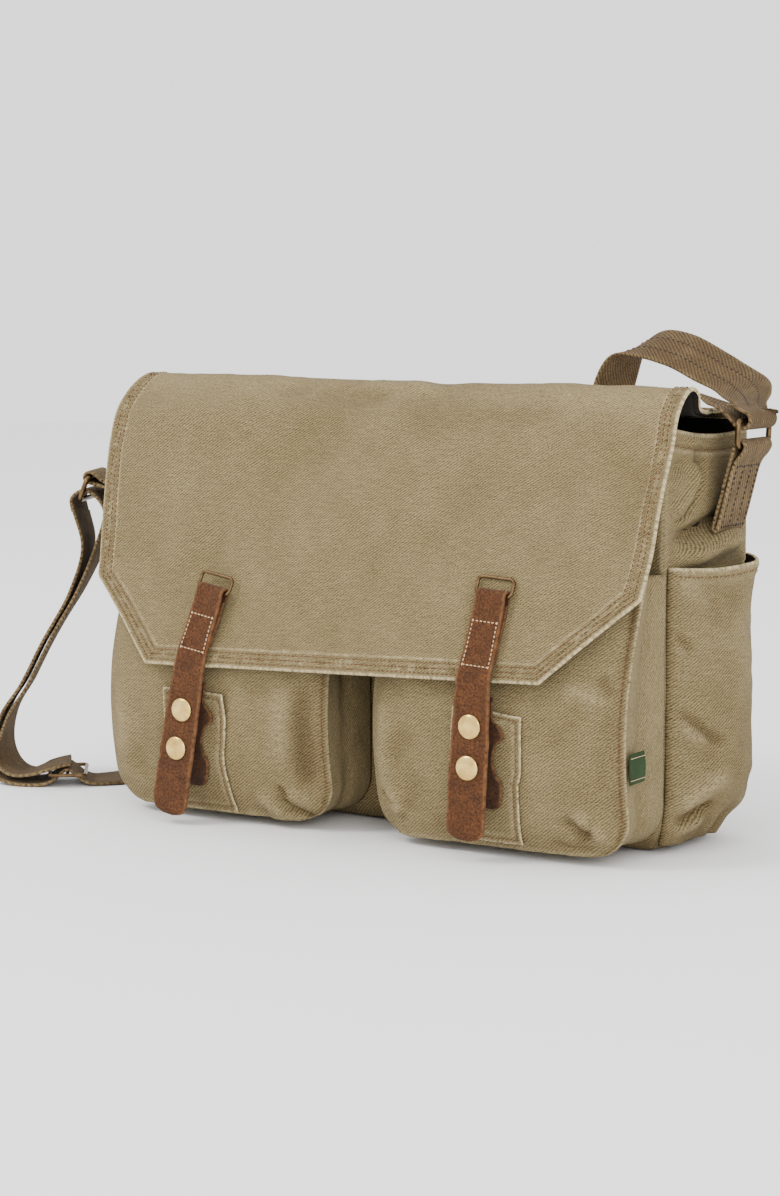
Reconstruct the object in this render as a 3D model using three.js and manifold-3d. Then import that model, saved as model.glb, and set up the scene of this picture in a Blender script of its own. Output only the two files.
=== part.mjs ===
// Canvas messenger bag: a gusseted body with two bellows pockets in front, a side pocket on each
// gusset, a folding flap held by two snap-down leather straps, and a webbing shoulder strap that
// hangs from a wire ring on each side. Millimetres, +X to the bag's left-hand side as worn,
// -Y to the front, +Z up, origin on the floor at the middle of the base.
import * as THREE from 'three';
import { mergeVertices } from 'three/addons/utils/BufferGeometryUtils.js';
import Module from 'manifold-3d';

const wasm = await Module();
wasm.setup();

// ---------------------------------------------------------------- driving dimensions
const GAP = 0.35; // clearance between touching pieces
const CANVAS = 2.4; // canvas with its seam allowance
const LINER = 1.2; // lining cloth
const LEATHER = 2.4; // suede straps
const WEBBING = 2.2; // shoulder strap webbing

const BODY = { frontHalf: 187, backHalf: 194, frontY: -36, backY: 62, frontTop: 256, backTop: 260 };
const GUSSET = { frontTop: 259, backTop: 254, sag: 4, bulge: 3 };
const BODY_CORNER = 18;

const POCKET = { bottom: 6, top: 172, corner: 25, outerX: 190, sideDrop: 13 };
const POCKET_INNER = { left: -19, right: 15 };
// depth of the stuffed pocket face at each height: [z, y]
const POCKET_PROFILE = [
  [0, -88], [25, -95.5], [60, -101.2], [90, -101.2], [112, -97.5], [152, -84.5], [172, -76],
];

const SIDE_POCKET = { frontY: -34, backY: 58, bottom: 6, frontTop: 175, backTop: 177, bulge: 24 };

const PATCH = { width: 47, thickness: 1.2 };
const PATCH_PLACE = { left: { x: -112, bottom: 8, top: 86 }, right: { x: 104, bottom: 11, top: 92 } };

const FLAP = { half: 200, hemHalf: 143, backHalf: 176, clip: 55, fold: 0.58, taper: 0.72, hemTilt: 0.032 };
// side view of the flap's outer face from the hem to the back seam: [y, z]
const FLAP_PROFILE = [
  [-110, 107], [-90, 163.4], [-72.5, 212.7], [-58, 253.5], [-50.5, 268.5], [-40, 279],
  [-27, 283.5], [-15, 279], [-6.5, 270.5], [8, 266.8], [35, 266], [60.5, 266],
];
const FLAP_SLOPE = Math.atan2(55, 155); // the front of the flap leans back by this angle

const STRAP_WIDTH = 25;
const STRAP_FRONT_Y = -114.4; // outer face of the leather tails
const STRAPS = {
  left: { ring: [-99, 149], hinge: [-105.4, 113.5], end: [-125.5, 7], snaps: [39, 64.5] },
  right: { ring: [104.5, 158.5], hinge: [102, 118.5], end: [95.6, 14], snaps: [35.5, 60.5] },
};
const ANCHOR = { width: 20.5, layer: 2, tunnel: 1.6 };
const LOOP = { width: 27, height: 13, wire: 2.2, corner: 3 };
const CAP = { radius: 7.5, height: 2.6, stem: 1.5 };
const SOCKET = { radius: 6, cavity: 4.6, depth: 1.8 };
const STUD = { base: 5.5, post: 2.4, nip: 0.8 };
const TAB = { width: 27, length: 66, thickness: 2, shift: 4 };

const WEB_WIDTH = 38;
const SIDE_TAB = { layer: 2, tunnel: 2.5 };
const RING = { width: 47.5, height: 19.5, wire: 3.5, corner: 4.5 };
const RIGHT_TAB = { top: [213, 30, 246], foot: [198.6, 30, 193], across: [0, 1, 0] };
const LEFT_TAB = { top: [-257, -18, 212.5], foot: [-205, 5.5, 198], across: [-0.4, 0.917, 0] };
const LABEL = { x: 191.9, frontY: -78, length: 20, bottom: 51, height: 21, thickness: 1.1 };

// The shoulder strap's middle line with the direction of its width at each point:
// [x, y, z, width x, width y, width z]. It starts over the right ring and ends at the left one.
const STRAP_ROUTE = [
  [214, 30, 268.5, 0, 1, 0], [208, 40, 271, 0, 1, 0.05], [198, 58.5, 275.5, 0, 0.97, 0.2],
  [182, 75.5, 282.5, 0, 0.92, 0.36], [161, 81.5, 291.5, 0, 0.88, 0.46], [134, 86, 302.5, -0.1, 0.85, 0.5],
  [112, 89, 306, 0.05, 0.9, 0.4], [97, 90, 300, 0.2, 0.96, 0.2], [87, 89, 282, 0.28, 0.96, 0],
  [81, 89, 240, 0.28, 0.96, 0], [74, 89, 160, 0.15, 1, 0], [68, 89, 80, 0, 1, 0], [56, 89, 28, 0, 1, 0],
  [24, 90, 5, 0, 1, 0], [-30, 91, 2.8, 0, 1, 0], [-110, 94, 2.8, 0, 1, 0], [-175, 92, 2.8, -0.2, 0.95, 0],
  [-218, 74, 2.8, -0.6, 0.8, 0], [-240, 42, 2.8, -0.95, 0.3, 0], [-243, 12, 2.8, -1, 0.1, 0],
  [-250, -11, 2.8, -0.8, 0.6, 0], [-259, -22.4, 3.2, -0.6, 0.8, 0], [-263.6, -26, 5.2, -0.6, 0.8, 0],
  [-268, -29.4, 9.8, -0.6, 0.8, 0], [-270.4, -31.3, 12.3, -0.6, 0.8, 0], [-272.5, -33, 13.1, -0.6, 0.8, 0],
  [-274.6, -34.7, 12.3, -0.6, 0.8, 0], [-277, -36.5, 9.8, -0.6, 0.8, 0], [-281.4, -39.8, 5.2, -0.6, 0.8, 0],
  [-286, -43.2, 3.2, -0.6, 0.8, 0], [-300, -48, 2.8, -0.3, 0.95, 0], [-316, -47, 8, -0.3, 0.95, 0],
  [-324, -44, 24, -0.4, 0.9, 0], [-319, -42, 47, -0.5, 0.86, 0], [-303, -40, 70, -0.54, 0.84, 0],
  [-288, -36, 98, -0.54, 0.84, 0], [-267, -30, 134, -0.5, 0.86, 0], [-257, -26, 165, -0.45, 0.9, 0],
  [-265, -24, 191, -0.4, 0.917, 0],
];
// The doubled part's inner layer, from the slider back up to the left ring.
const INNER_ROUTE = [
  [-271, -31.8, 16.4, -0.6, 0.8, 0], [-276, -35.8, 15.3, -0.6, 0.8, 0], [-283, -41, 12.9, -0.6, 0.8, 0],
  [-291, -44.8, 10, -0.5, 0.86, 0], [-301, -47, 8.6, -0.3, 0.95, 0], [-312, -46, 13.5, -0.3, 0.95, 0],
  [-317.5, -44, 26, -0.4, 0.9, 0], [-313, -42, 46, -0.5, 0.86, 0], [-297.5, -40, 70, -0.54, 0.84, 0],
  [-282.5, -36, 98, -0.54, 0.84, 0], [-261.5, -29.5, 134, -0.5, 0.86, 0], [-249, -22, 165, -0.45, 0.9, 0],
  [-245, -16, 191, -0.4, 0.917, 0],
];
const SLIDER = { centre: [-272.5, -33, 8.7], along: [-0.8, -0.6, 0], width: 46, length: 27, wire: 2.6 };

// ---------------------------------------------------------------- shaping tools
const vec = (x, y, z) => new THREE.Vector3(x, y, z);
const mix = (a, b, t) => a + (b - a) * t;

// Height-to-depth curve through [at, value] pairs, smooth and without overshoot at the ends.
function through(pairs) {
  const curve = new THREE.SplineCurve(pairs.map(([at, value]) => new THREE.Vector2(at, value)));
  const samples = curve.getPoints(120);
  return (at) => {
    const next = samples.findIndex((point) => point.x >= at);
    if (next < 0) return samples[samples.length - 1].y;
    if (next === 0) return samples[0].y;
    const a = samples[next - 1];
    const b = samples[next];
    return mix(a.y, b.y, (at - a.x) / (b.x - a.x));
  };
}

// Turns every face the right way out after a mirror or a hand-built grid.
function outward(geometry) {
  const p = geometry.attributes.position;
  const index = geometry.index.array;
  let volume = 0;
  for (let i = 0; i < index.length; i += 3) {
    const [a, b, c] = [0, 1, 2].map((k) => new THREE.Vector3().fromBufferAttribute(p, index[i + k]));
    volume += a.dot(b.cross(c));
  }
  if (volume < 0) {
    for (let i = 0; i < index.length; i += 3) [index[i], index[i + 1]] = [index[i + 1], index[i]];
  }
  geometry.computeVertexNormals();
  return geometry;
}

// A closed cloth panel. place(u, v) gives the face that is seen, u to its right and v up it,
// and the thickness goes behind that face.
function sheet(place, columns, rows, thickness) {
  const front = [];
  const back = [];
  const step = 1e-3;
  for (let j = 0; j <= rows; j += 1) {
    for (let i = 0; i <= columns; i += 1) {
      const [u, v] = [i / columns, j / rows];
      const point = place(u, v);
      const right = place(Math.min(1, u + step), v).sub(place(Math.max(0, u - step), v));
      const up = place(u, Math.min(1, v + step)).sub(place(u, Math.max(0, v - step)));
      front.push(point);
      back.push(point.clone().addScaledVector(right.cross(up).normalize(), -thickness));
    }
  }
  const at = (i, j) => j * (columns + 1) + i;
  const count = front.length;
  const faces = [];
  const quad = (a, b, c, d) => faces.push(a, b, c, a, c, d);
  for (let j = 0; j < rows; j += 1) {
    for (let i = 0; i < columns; i += 1) {
      quad(at(i, j), at(i + 1, j), at(i + 1, j + 1), at(i, j + 1));
      quad(count + at(i, j), count + at(i, j + 1), count + at(i + 1, j + 1), count + at(i + 1, j));
    }
    quad(at(0, j), at(0, j + 1), count + at(0, j + 1), count + at(0, j));
    quad(at(columns, j + 1), at(columns, j), count + at(columns, j), count + at(columns, j + 1));
  }
  for (let i = 0; i < columns; i += 1) {
    quad(at(i + 1, 0), at(i, 0), count + at(i, 0), count + at(i + 1, 0));
    quad(at(i, rows), at(i + 1, rows), count + at(i + 1, rows), count + at(i, rows));
  }
  const geometry = new THREE.BufferGeometry().setFromPoints([...front, ...back]);
  geometry.setIndex(faces);
  return outward(geometry);
}

const mirrored = (geometry) => outward(geometry.clone().scale(-1, 1, 1));

// A rectangle with round corners, centred on the origin.
function roundRect(width, height, radius) {
  const [x, y] = [width / 2, height / 2];
  const shape = new THREE.Shape();
  shape.moveTo(-x + radius, -y);
  shape.lineTo(x - radius, -y);
  shape.absarc(x - radius, -y + radius, radius, -Math.PI / 2, 0);
  shape.lineTo(x, y - radius);
  shape.absarc(x - radius, y - radius, radius, 0, Math.PI / 2);
  shape.lineTo(-x + radius, y);
  shape.absarc(-x + radius, y - radius, radius, Math.PI / 2, Math.PI);
  shape.lineTo(-x, -y + radius);
  shape.absarc(-x + radius, -y + radius, radius, Math.PI, Math.PI * 1.5);
  return shape;
}

const extrude = (shape, depth, curveSegments = 5) =>
  new THREE.ExtrudeGeometry(shape, { depth, curveSegments, bevelEnabled: false });

// Stands a shape drawn in X and Y upright, so that its Y is up and its depth runs to the front.
const upright = (geometry) => geometry.rotateX(Math.PI / 2);

// The same surface with its corners shared between faces.
function closed(geometry) {
  const plain = geometry.clone();
  plain.deleteAttribute('normal');
  plain.deleteAttribute('uv');
  return mergeVertices(plain, 1e-4);
}

function solid(geometry) {
  const merged = closed(geometry);
  const vertProperties = Float32Array.from(merged.attributes.position.array);
  const triVerts = Uint32Array.from(merged.index.array);
  return new wasm.Manifold(new wasm.Mesh({ numProp: 3, vertProperties, triVerts }));
}

function fromSolid(body) {
  const mesh = body.getMesh();
  const geometry = new THREE.BufferGeometry();
  geometry.setAttribute('position', new THREE.BufferAttribute(mesh.vertProperties, 3));
  geometry.setIndex(new THREE.BufferAttribute(mesh.triVerts, 1));
  geometry.computeVertexNormals();
  return geometry;
}

// A turned piece whose axis runs front to back; profile is [radius, distance towards the front].
function turned(profile, segments = 14) {
  const points = profile.map(([radius, front]) => new THREE.Vector2(radius, front));
  const round = new THREE.LatheGeometry(points, segments).rotateX(Math.PI);
  return outward(closed(round));
}

// Puts a mesh at origin with its local X along across and its local Z along up.
function stand(mesh, origin, across, up) {
  const z = up.clone().normalize();
  const y = z.clone().cross(across).normalize();
  const x = y.clone().cross(z);
  mesh.applyMatrix4(new THREE.Matrix4().makeBasis(x, y, z).setPosition(origin));
  return mesh;
}

// A strap folded round a bar and sewn to itself. The bar's axis is the local X axis; the two
// layers run down local -Z and the flat back of the fold faces local +Y.
function foldedStrap(width, length, layer, tunnel) {
  const outer = tunnel + layer;
  const front = 2 * layer + 0.4 - outer;
  const shape = new THREE.Shape();
  shape.moveTo(outer, -length);
  shape.lineTo(outer, 0);
  shape.absarc(0, 0, outer, 0, Math.PI);
  shape.lineTo(-front, -2.4 * outer);
  shape.lineTo(-front, -length);
  shape.holes.push(new THREE.Path().absarc(0, 0, tunnel, 0, Math.PI * 2, true));
  const geometry = extrude(shape, width, 6).translate(0, 0, -width / 2);
  const basis = new THREE.Matrix4().makeBasis(vec(0, 1, 0), vec(0, 0, 1), vec(1, 0, 0));
  return geometry.applyMatrix4(basis);
}

// A rectangular wire ring: one long bar lies on the local X axis, the other above it.
function wireRing({ width, height, wire, corner }) {
  const bevel = wire * 0.28;
  const shape = roundRect(width - 2 * bevel, height - 2 * bevel, corner - bevel);
  const inner = roundRect(width - 2 * wire + 2 * bevel, height - 2 * wire + 2 * bevel,
    Math.max(0.8, corner - wire + bevel));
  shape.holes.push(inner);
  const geometry = new THREE.ExtrudeGeometry(shape, {
    depth: wire - 2 * bevel, curveSegments: 2, bevelThickness: bevel, bevelSize: bevel, bevelSegments: 1,
  });
  return upright(geometry.translate(0, (height - wire) / 2, -wire / 2 + bevel));
}

// A flat webbing ribbon along a hand-laid route.
function ribbon(route) {
  const middle = new THREE.CatmullRomCurve3(route.map(([x, y, z]) => vec(x, y, z)));
  const across = new THREE.CatmullRomCurve3(route.map((row) => vec(row[3], row[4], row[5])));
  const place = (u, v) => {
    const direction = across.getPoint(v).normalize();
    return middle.getPoint(v).addScaledVector(direction, (u - 0.5) * WEB_WIDTH);
  };
  return sheet(place, 1, 2 * (route.length - 1), WEBBING);
}

// ---------------------------------------------------------------- materials and assembly
const material = (color, roughness, metalness = 0) =>
  () => new THREE.MeshStandardMaterial({ color, roughness, metalness });
const canvas = material(0x8b8160, 0.92);
const lining = material(0x1c1a18, 0.9);
const webbing = material(0x655b45, 0.9);
const suede = material(0x6b452c, 0.88);
const darkSuede = material(0x46301f, 0.9);
const brass = material(0xc9a96e, 0.3, 1);
const bronze = material(0x8a7355, 0.35, 1);
const green = material(0x2f5a3a, 0.85);

const bag = new THREE.Group();
function add(name, geometry, paint) {
  const mesh = new THREE.Mesh(geometry, paint());
  mesh.name = name;
  bag.add(mesh);
  return mesh;
}

// ---------------------------------------------------------------- body
const gussetX = (t) => mix(BODY.frontHalf, BODY.backHalf, t);
const innerFront = BODY.frontY + CANVAS + GAP;
const innerBack = BODY.backY - CANVAS - GAP;

// A standing panel with rounded bottom corners; the face at y looks to the front.
function uprightPanel(half, top, y) {
  const bottom = 0.3;
  const shape = new THREE.Shape();
  shape.moveTo(-half + BODY_CORNER, bottom);
  shape.lineTo(half - BODY_CORNER, bottom);
  shape.absarc(half - BODY_CORNER, bottom + BODY_CORNER, BODY_CORNER, -Math.PI / 2, 0);
  shape.lineTo(half, top);
  shape.lineTo(-half, top);
  shape.lineTo(-half, bottom + BODY_CORNER);
  shape.absarc(-half + BODY_CORNER, bottom + BODY_CORNER, BODY_CORNER, Math.PI, Math.PI * 1.5);
  return upright(extrude(shape, CANVAS)).translate(0, y + CANVAS, 0);
}

// The floor plan of the body, narrower in front, drawn inset from the outside by inset.
function plan(inset, front, back) {
  const shape = new THREE.Shape();
  shape.moveTo(-BODY.frontHalf + inset, front);
  shape.lineTo(BODY.frontHalf - inset, front);
  shape.lineTo(BODY.backHalf - inset, back);
  shape.lineTo(-BODY.backHalf + inset, back);
  return shape;
}

function gussetPoint(u, v) {
  const top = mix(GUSSET.frontTop, GUSSET.backTop, u) - GUSSET.sag * Math.sin(Math.PI * u);
  const swell = GUSSET.bulge * Math.sin(Math.PI * u) * Math.sin(Math.PI * v);
  return vec(gussetX(u) + swell, mix(innerFront, innerBack, u), mix(0.3, top, v));
}

function bagLining() {
  const inset = CANVAS + GAP;
  const [front, back] = [innerFront, innerBack];
  const floor = CANVAS + GAP;
  const outer = extrude(plan(inset, front, back), 252 - floor).translate(0, 0, floor);
  const inside = plan(inset + LINER, front + LINER, back - LINER);
  const hollow = extrude(inside, 260).translate(0, 0, floor + LINER);
  return fromSolid(solid(outer).subtract(solid(hollow)));
}

function buildBody() {
  add('base_panel', extrude(plan(CANVAS + GAP, innerFront, innerBack), CANVAS), canvas);
  add('front_panel', uprightPanel(BODY.frontHalf, BODY.frontTop, BODY.frontY), canvas);
  add('back_panel', uprightPanel(BODY.backHalf, BODY.backTop, BODY.backY - CANVAS), canvas);
  const gusset = sheet(gussetPoint, 6, 8, CANVAS);
  add('gusset_right', gusset, canvas);
  add('gusset_left', mirrored(gusset), canvas);
  add('lining', bagLining(), lining);
}

// ---------------------------------------------------------------- side pockets
function sidePocketPoint(u, v) {
  const y = mix(SIDE_POCKET.frontY, SIDE_POCKET.backY, u);
  const top = mix(SIDE_POCKET.frontTop, SIDE_POCKET.backTop, u) - 3 * Math.sin(Math.PI * u);
  const z = mix(SIDE_POCKET.bottom, top, v);
  const wall = gussetPoint((y - innerFront) / (innerBack - innerFront), z / GUSSET.frontTop).x;
  const fullness = Math.sin(Math.PI / 2 * Math.min(1, v / 0.25)) * (1 - 0.4 * v * v);
  const swell = SIDE_POCKET.bulge * Math.sin(Math.PI * u) ** 0.7 * fullness;
  return vec(wall + GAP + CANVAS + swell, y, z);
}

function buildSidePockets() {
  const pocket = sheet(sidePocketPoint, 10, 8, CANVAS);
  add('side_pocket_right', pocket, canvas);
  add('side_pocket_left', mirrored(pocket), canvas);
}

// ---------------------------------------------------------------- front pockets
const pocketDepth = through(POCKET_PROFILE);

function pocketBox(side) {
  const [a, b] = side === 'left' ? [-POCKET.outerX, POCKET_INNER.left] : [POCKET_INNER.right, POCKET.outerX];
  return { middle: (a + b) / 2, half: (b - a) / 2 };
}

// Depth of a pocket's outer face at a point of the front.
function pocketFaceY(box, x, z) {
  const across = Math.min(1, Math.abs(x - box.middle) / box.half);
  return pocketDepth(z) + POCKET.sideDrop * across ** 5;
}

function pocketFace(box) {
  const place = (u, v) => {
    const z = mix(POCKET.bottom, POCKET.top, v);
    const below = Math.max(0, POCKET.bottom + POCKET.corner - z);
    const half = box.half - POCKET.corner + Math.sqrt(POCKET.corner ** 2 - below ** 2);
    const x = box.middle + (2 * u - 1) * half;
    return vec(x, pocketFaceY(box, x, z), z);
  };
  return sheet(place, 10, 10, CANVAS);
}

// The bellows: one strip down one side of the pocket, along its bottom and up the other side.
function pocketBellows(box) {
  const outline = new THREE.Path();
  const [left, right] = [box.middle - box.half, box.middle + box.half];
  const low = POCKET.bottom + POCKET.corner;
  outline.moveTo(left, POCKET.top);
  outline.lineTo(left, low);
  outline.absarc(left + POCKET.corner, low, POCKET.corner, Math.PI, Math.PI * 1.5);
  outline.lineTo(right - POCKET.corner, POCKET.bottom);
  outline.absarc(right - POCKET.corner, low, POCKET.corner, -Math.PI / 2, 0);
  outline.lineTo(right, POCKET.top);
  const backEdge = BODY.frontY - GAP;
  const place = (u, v) => {
    const point = outline.getPointAt(u);
    const frontEdge = pocketFaceY(box, point.x, point.y) + CANVAS + 1;
    return vec(point.x, mix(backEdge, frontEdge, v), point.y);
  };
  return sheet(place, 32, 2, CANVAS);
}

function patchPoint(side, behind, left, width, bottom, top) {
  const box = pocketBox(side);
  return (u, v) => {
    const x = left + u * width;
    const z = mix(bottom, top, v);
    return vec(x, pocketFaceY(box, x, z) - behind, z);
  };
}

function buildFrontPockets() {
  for (const side of ['left', 'right']) {
    const box = pocketBox(side);
    add(`pocket_${side}_bellows`, pocketBellows(box), canvas);
    add(`pocket_${side}_face`, pocketFace(box), canvas);
    const { x, bottom, top } = PATCH_PLACE[side];
    const depth = GAP + PATCH.thickness;
    const patch = patchPoint(side, depth, x - PATCH.width / 2, PATCH.width, bottom, top);
    add(`snap_patch_${side}`, sheet(patch, 4, 8, PATCH.thickness), canvas);
  }
  const { x, frontY, length, bottom, height, thickness } = LABEL;
  const tag = new THREE.BoxGeometry(thickness, length, height);
  add('side_tag', tag, green).position.set(x, frontY + length / 2, bottom + height / 2);
}

// ---------------------------------------------------------------- leather straps and snaps
// Local frame of a leather tail: its hinge line, the way down it and the way across it.
function tailFrame(side) {
  const { hinge, end } = STRAPS[side];
  const down = vec(end[0] - hinge[0], 0, end[1] - hinge[1]);
  const length = down.length();
  down.normalize();
  return { origin: vec(hinge[0], STRAP_FRONT_Y, hinge[1]), down, length, across: vec(-down.z, 0, down.x) };
}

const snapPoint = ({ origin, down }, distance) => origin.clone().addScaledVector(down, distance);

function tailGeometry(length, snaps) {
  const half = STRAP_WIDTH / 2;
  const topHalf = half - 1;
  const shape = new THREE.Shape();
  shape.moveTo(-topHalf, -GAP);
  shape.lineTo(-half, -length + half);
  shape.absarc(0, -length + half, half, Math.PI, Math.PI * 2);
  shape.lineTo(topHalf, -GAP);
  for (const snap of snaps) {
    const hole = new THREE.Path().absarc(0, -snap, CAP.stem + 0.4, 0, Math.PI * 2, true);
    shape.holes.push(hole);
  }
  return upright(extrude(shape, LEATHER, 6)).translate(0, LEATHER, 0);
}

function capGeometry() {
  const { radius, height, stem } = CAP;
  const reach = LEATHER + GAP;
  const profile = [[0, -reach], [stem, -reach], [stem, GAP], [radius, GAP]];
  for (let i = 1; i <= 3; i += 1) {
    const angle = (i / 3) * (Math.PI / 2);
    profile.push([Math.max(0, radius * Math.cos(angle)), GAP + height * Math.sin(angle)]);
  }
  return turned(profile);
}

function socketGeometry() {
  const { radius, cavity, depth } = SOCKET;
  const web = 0.5;
  return turned([[0, -web], [cavity, -web], [cavity, -depth], [radius, -depth], [radius, 0], [0, 0]]);
}

function studGeometry(length) {
  const { base, post } = STUD;
  return turned([[0, 0], [base, 0], [base, 1], [post, 1.4], [post, length], [0, length]]);
}

function buildStrap(side) {
  const { ring, hinge, snaps } = STRAPS[side];
  const frame = tailFrame(side);
  const up = frame.down.clone().negate();
  stand(add(`strap_${side}_tail`, tailGeometry(frame.length, snaps), suede), frame.origin, frame.across, up);

  // the folded and stitched upper part lies on the sloping flap
  const lift = GAP + ANCHOR.layer + ANCHOR.tunnel;
  const slope = vec(0, Math.sin(FLAP_SLOPE), Math.cos(FLAP_SLOPE));
  const face = vec(0, -Math.cos(FLAP_SLOPE), Math.sin(FLAP_SLOPE));
  const onFlap = ([x, z]) => vec(x, -110 + (z - 107) * Math.tan(FLAP_SLOPE), z).addScaledVector(face, lift);
  const top = onFlap(ring);
  const rise = top.clone().sub(onFlap(hinge));
  const across = rise.clone().normalize().cross(slope.clone().cross(vec(1, 0, 0))).negate().normalize();
  const anchor = foldedStrap(ANCHOR.width, rise.length() - GAP, ANCHOR.layer, ANCHOR.tunnel);
  stand(add(`strap_${side}_anchor`, anchor, suede), top, across, rise);
  stand(add(`flap_loop_${side}`, wireRing(LOOP), bronze), top, across, rise);

  // counter tab with its two studs, sewn on the patch behind the tail
  const depth = GAP + PATCH.thickness + GAP + TAB.thickness;
  const first = snapPoint(frame, snaps[0]);
  const tabTop = first.z + 16;
  const box = pocketBox(side);
  const tabFace = (u, v) => {
    const z = tabTop - (1 - v) * TAB.length;
    const middle = first.x + TAB.shift + (z - first.z) * (-frame.down.x);
    const x = middle + (u - 0.5) * TAB.width;
    return vec(x, pocketFaceY(box, x, z) - depth, z);
  };
  add(`stud_tab_${side}`, sheet(tabFace, 4, 8, TAB.thickness), darkSuede);

  snaps.forEach((distance, i) => {
    const tag = `${side}_${i === 0 ? 'upper' : 'lower'}`;
    const front = snapPoint(frame, distance);
    add(`snap_cap_${tag}`, capGeometry(), brass).position.copy(front);
    const back = front.clone().setY(STRAP_FRONT_Y + LEATHER + GAP * 2 + SOCKET.depth - 1.8);
    add(`snap_socket_${tag}`, socketGeometry(), brass).position.copy(back);
    const rest = Math.min(...[-5.5, 0, 5.5].map((dz) => pocketFaceY(box, front.x, front.z + dz))) - depth;
    const foot = front.clone().setY(rest - 1.2);
    const reach = foot.y - (STRAP_FRONT_Y + LEATHER + GAP * 2 + SOCKET.depth - STUD.nip);
    add(`snap_stud_${tag}`, studGeometry(reach), brass).position.copy(foot);
  });
}

// ---------------------------------------------------------------- flap
const flapCurve = new THREE.CatmullRomCurve3(FLAP_PROFILE.map(([y, z]) => vec(0, y, z)));
const flapLength = flapCurve.getLength();

// Half the flap's width at a distance from its hem: clipped corners below, narrower at the back.
function flapHalf(s) {
  if (s < FLAP.clip) return mix(FLAP.hemHalf, FLAP.half, s / FLAP.clip);
  const behind = Math.max(0, s / flapLength - FLAP.taper) / (1 - FLAP.taper);
  return mix(FLAP.half, FLAP.backHalf, behind);
}

// A strip of the flap between two distances up from the hem, lowered by depth under its face.
function flapStrip(from, to, depth, inset) {
  return (u, v) => {
    const s = mix(from, to, v);
    const point = flapCurve.getPointAt(s / flapLength);
    const tangent = flapCurve.getTangentAt(s / flapLength);
    const face = vec(0, -tangent.z, tangent.y);
    const x = (2 * u - 1) * (flapHalf(s) - inset);
    const tilt = FLAP.hemTilt * x * Math.max(0, 1 - s / (FLAP.fold * flapLength));
    return vec(x, point.y, point.z).addScaledVector(tangent, tilt).addScaledVector(face, -depth);
  };
}

function buildFlap() {
  const foldAt = FLAP.fold * flapLength;
  const under = CANVAS + GAP;
  const layers = [['panel', 0, 0, CANVAS, canvas], ['lining', under, 4, LINER, lining]];
  for (const [layer, depth, inset, thickness, paint] of layers) {
    const clipRow = (v) => (v < 0.25 ? v * 4 * FLAP.clip : mix(FLAP.clip, foldAt - GAP, (v - 0.25) / 0.75));
    const front = (u, v) => flapStrip(0, 1, depth, inset)(u, clipRow(v));
    add(`flap_front_${layer}`, sheet(front, 6, 8, thickness), paint);
    const top = flapStrip(foldAt + GAP, flapLength, depth, inset);
    add(`flap_top_${layer}`, sheet(top, 4, 16, thickness), paint);
  }
}

// ---------------------------------------------------------------- rings and shoulder strap
function buildRing(side, { top, foot, across }, hangs) {
  const origin = vec(...top);
  const rise = origin.clone().sub(vec(...foot));
  const tab = foldedStrap(WEB_WIDTH, rise.length(), SIDE_TAB.layer, SIDE_TAB.tunnel);
  stand(add(`side_tab_${side}`, tab, webbing), origin, vec(...across), rise);
  stand(add(`side_ring_${side}`, wireRing(RING), bronze), origin, vec(...across), hangs);
}

function buildSlider() {
  const { centre, along, width, length, wire } = SLIDER;
  const frame = roundRect(length, width, 3);
  const window = (length - 3 * wire) / 2;
  for (const side of [-1, 1]) {
    const hole = roundRect(window, width - 2 * wire, 1);
    const shift = side * (window + wire) / 2;
    const points = hole.getPoints(3).map((point) => point.add(new THREE.Vector2(shift, 0)));
    frame.holes.push(new THREE.Path(points));
  }
  const plate = extrude(frame, wire, 3).translate(0, 0, -wire / 2);
  stand(add('strap_slider', plate, bronze), vec(...centre), vec(...along), vec(0, 0, 1));
}

buildBody();
buildSidePockets();
buildFrontPockets();
buildStrap('left');
buildStrap('right');
buildFlap();
buildRing('right', RIGHT_TAB, vec(0.05, 0, 1));
buildRing('left', LEFT_TAB, vec(-0.35, -0.15, -1));
add('shoulder_strap', ribbon(STRAP_ROUTE), webbing);
add('shoulder_strap_inner', ribbon(INNER_ROUTE), webbing);
buildSlider();

export default bag;
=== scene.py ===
"""Canvas messenger bag: the cloth, leather, webbing and metal that show, built around the frame.

Shapes are worked out in millimetres, in the frame's axes, and become metres when a mesh is made.
"""

import math

import bpy
import numpy as np
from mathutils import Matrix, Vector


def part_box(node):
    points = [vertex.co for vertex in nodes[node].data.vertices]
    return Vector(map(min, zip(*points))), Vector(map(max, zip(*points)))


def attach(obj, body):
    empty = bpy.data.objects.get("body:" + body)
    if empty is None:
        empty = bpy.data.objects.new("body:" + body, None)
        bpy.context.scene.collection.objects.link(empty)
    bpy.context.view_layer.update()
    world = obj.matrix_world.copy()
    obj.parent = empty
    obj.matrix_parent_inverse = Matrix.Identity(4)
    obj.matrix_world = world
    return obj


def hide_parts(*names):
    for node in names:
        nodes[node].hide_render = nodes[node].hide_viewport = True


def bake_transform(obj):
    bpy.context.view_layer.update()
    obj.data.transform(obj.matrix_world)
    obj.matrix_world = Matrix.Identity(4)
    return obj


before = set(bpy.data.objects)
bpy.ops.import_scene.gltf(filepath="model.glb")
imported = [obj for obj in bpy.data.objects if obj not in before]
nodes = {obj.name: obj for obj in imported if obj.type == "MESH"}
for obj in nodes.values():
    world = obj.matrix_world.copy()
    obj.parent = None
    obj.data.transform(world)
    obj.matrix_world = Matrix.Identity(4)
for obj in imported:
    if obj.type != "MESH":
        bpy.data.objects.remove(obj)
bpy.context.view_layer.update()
scene = bpy.context.scene
MM = 0.001

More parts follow.
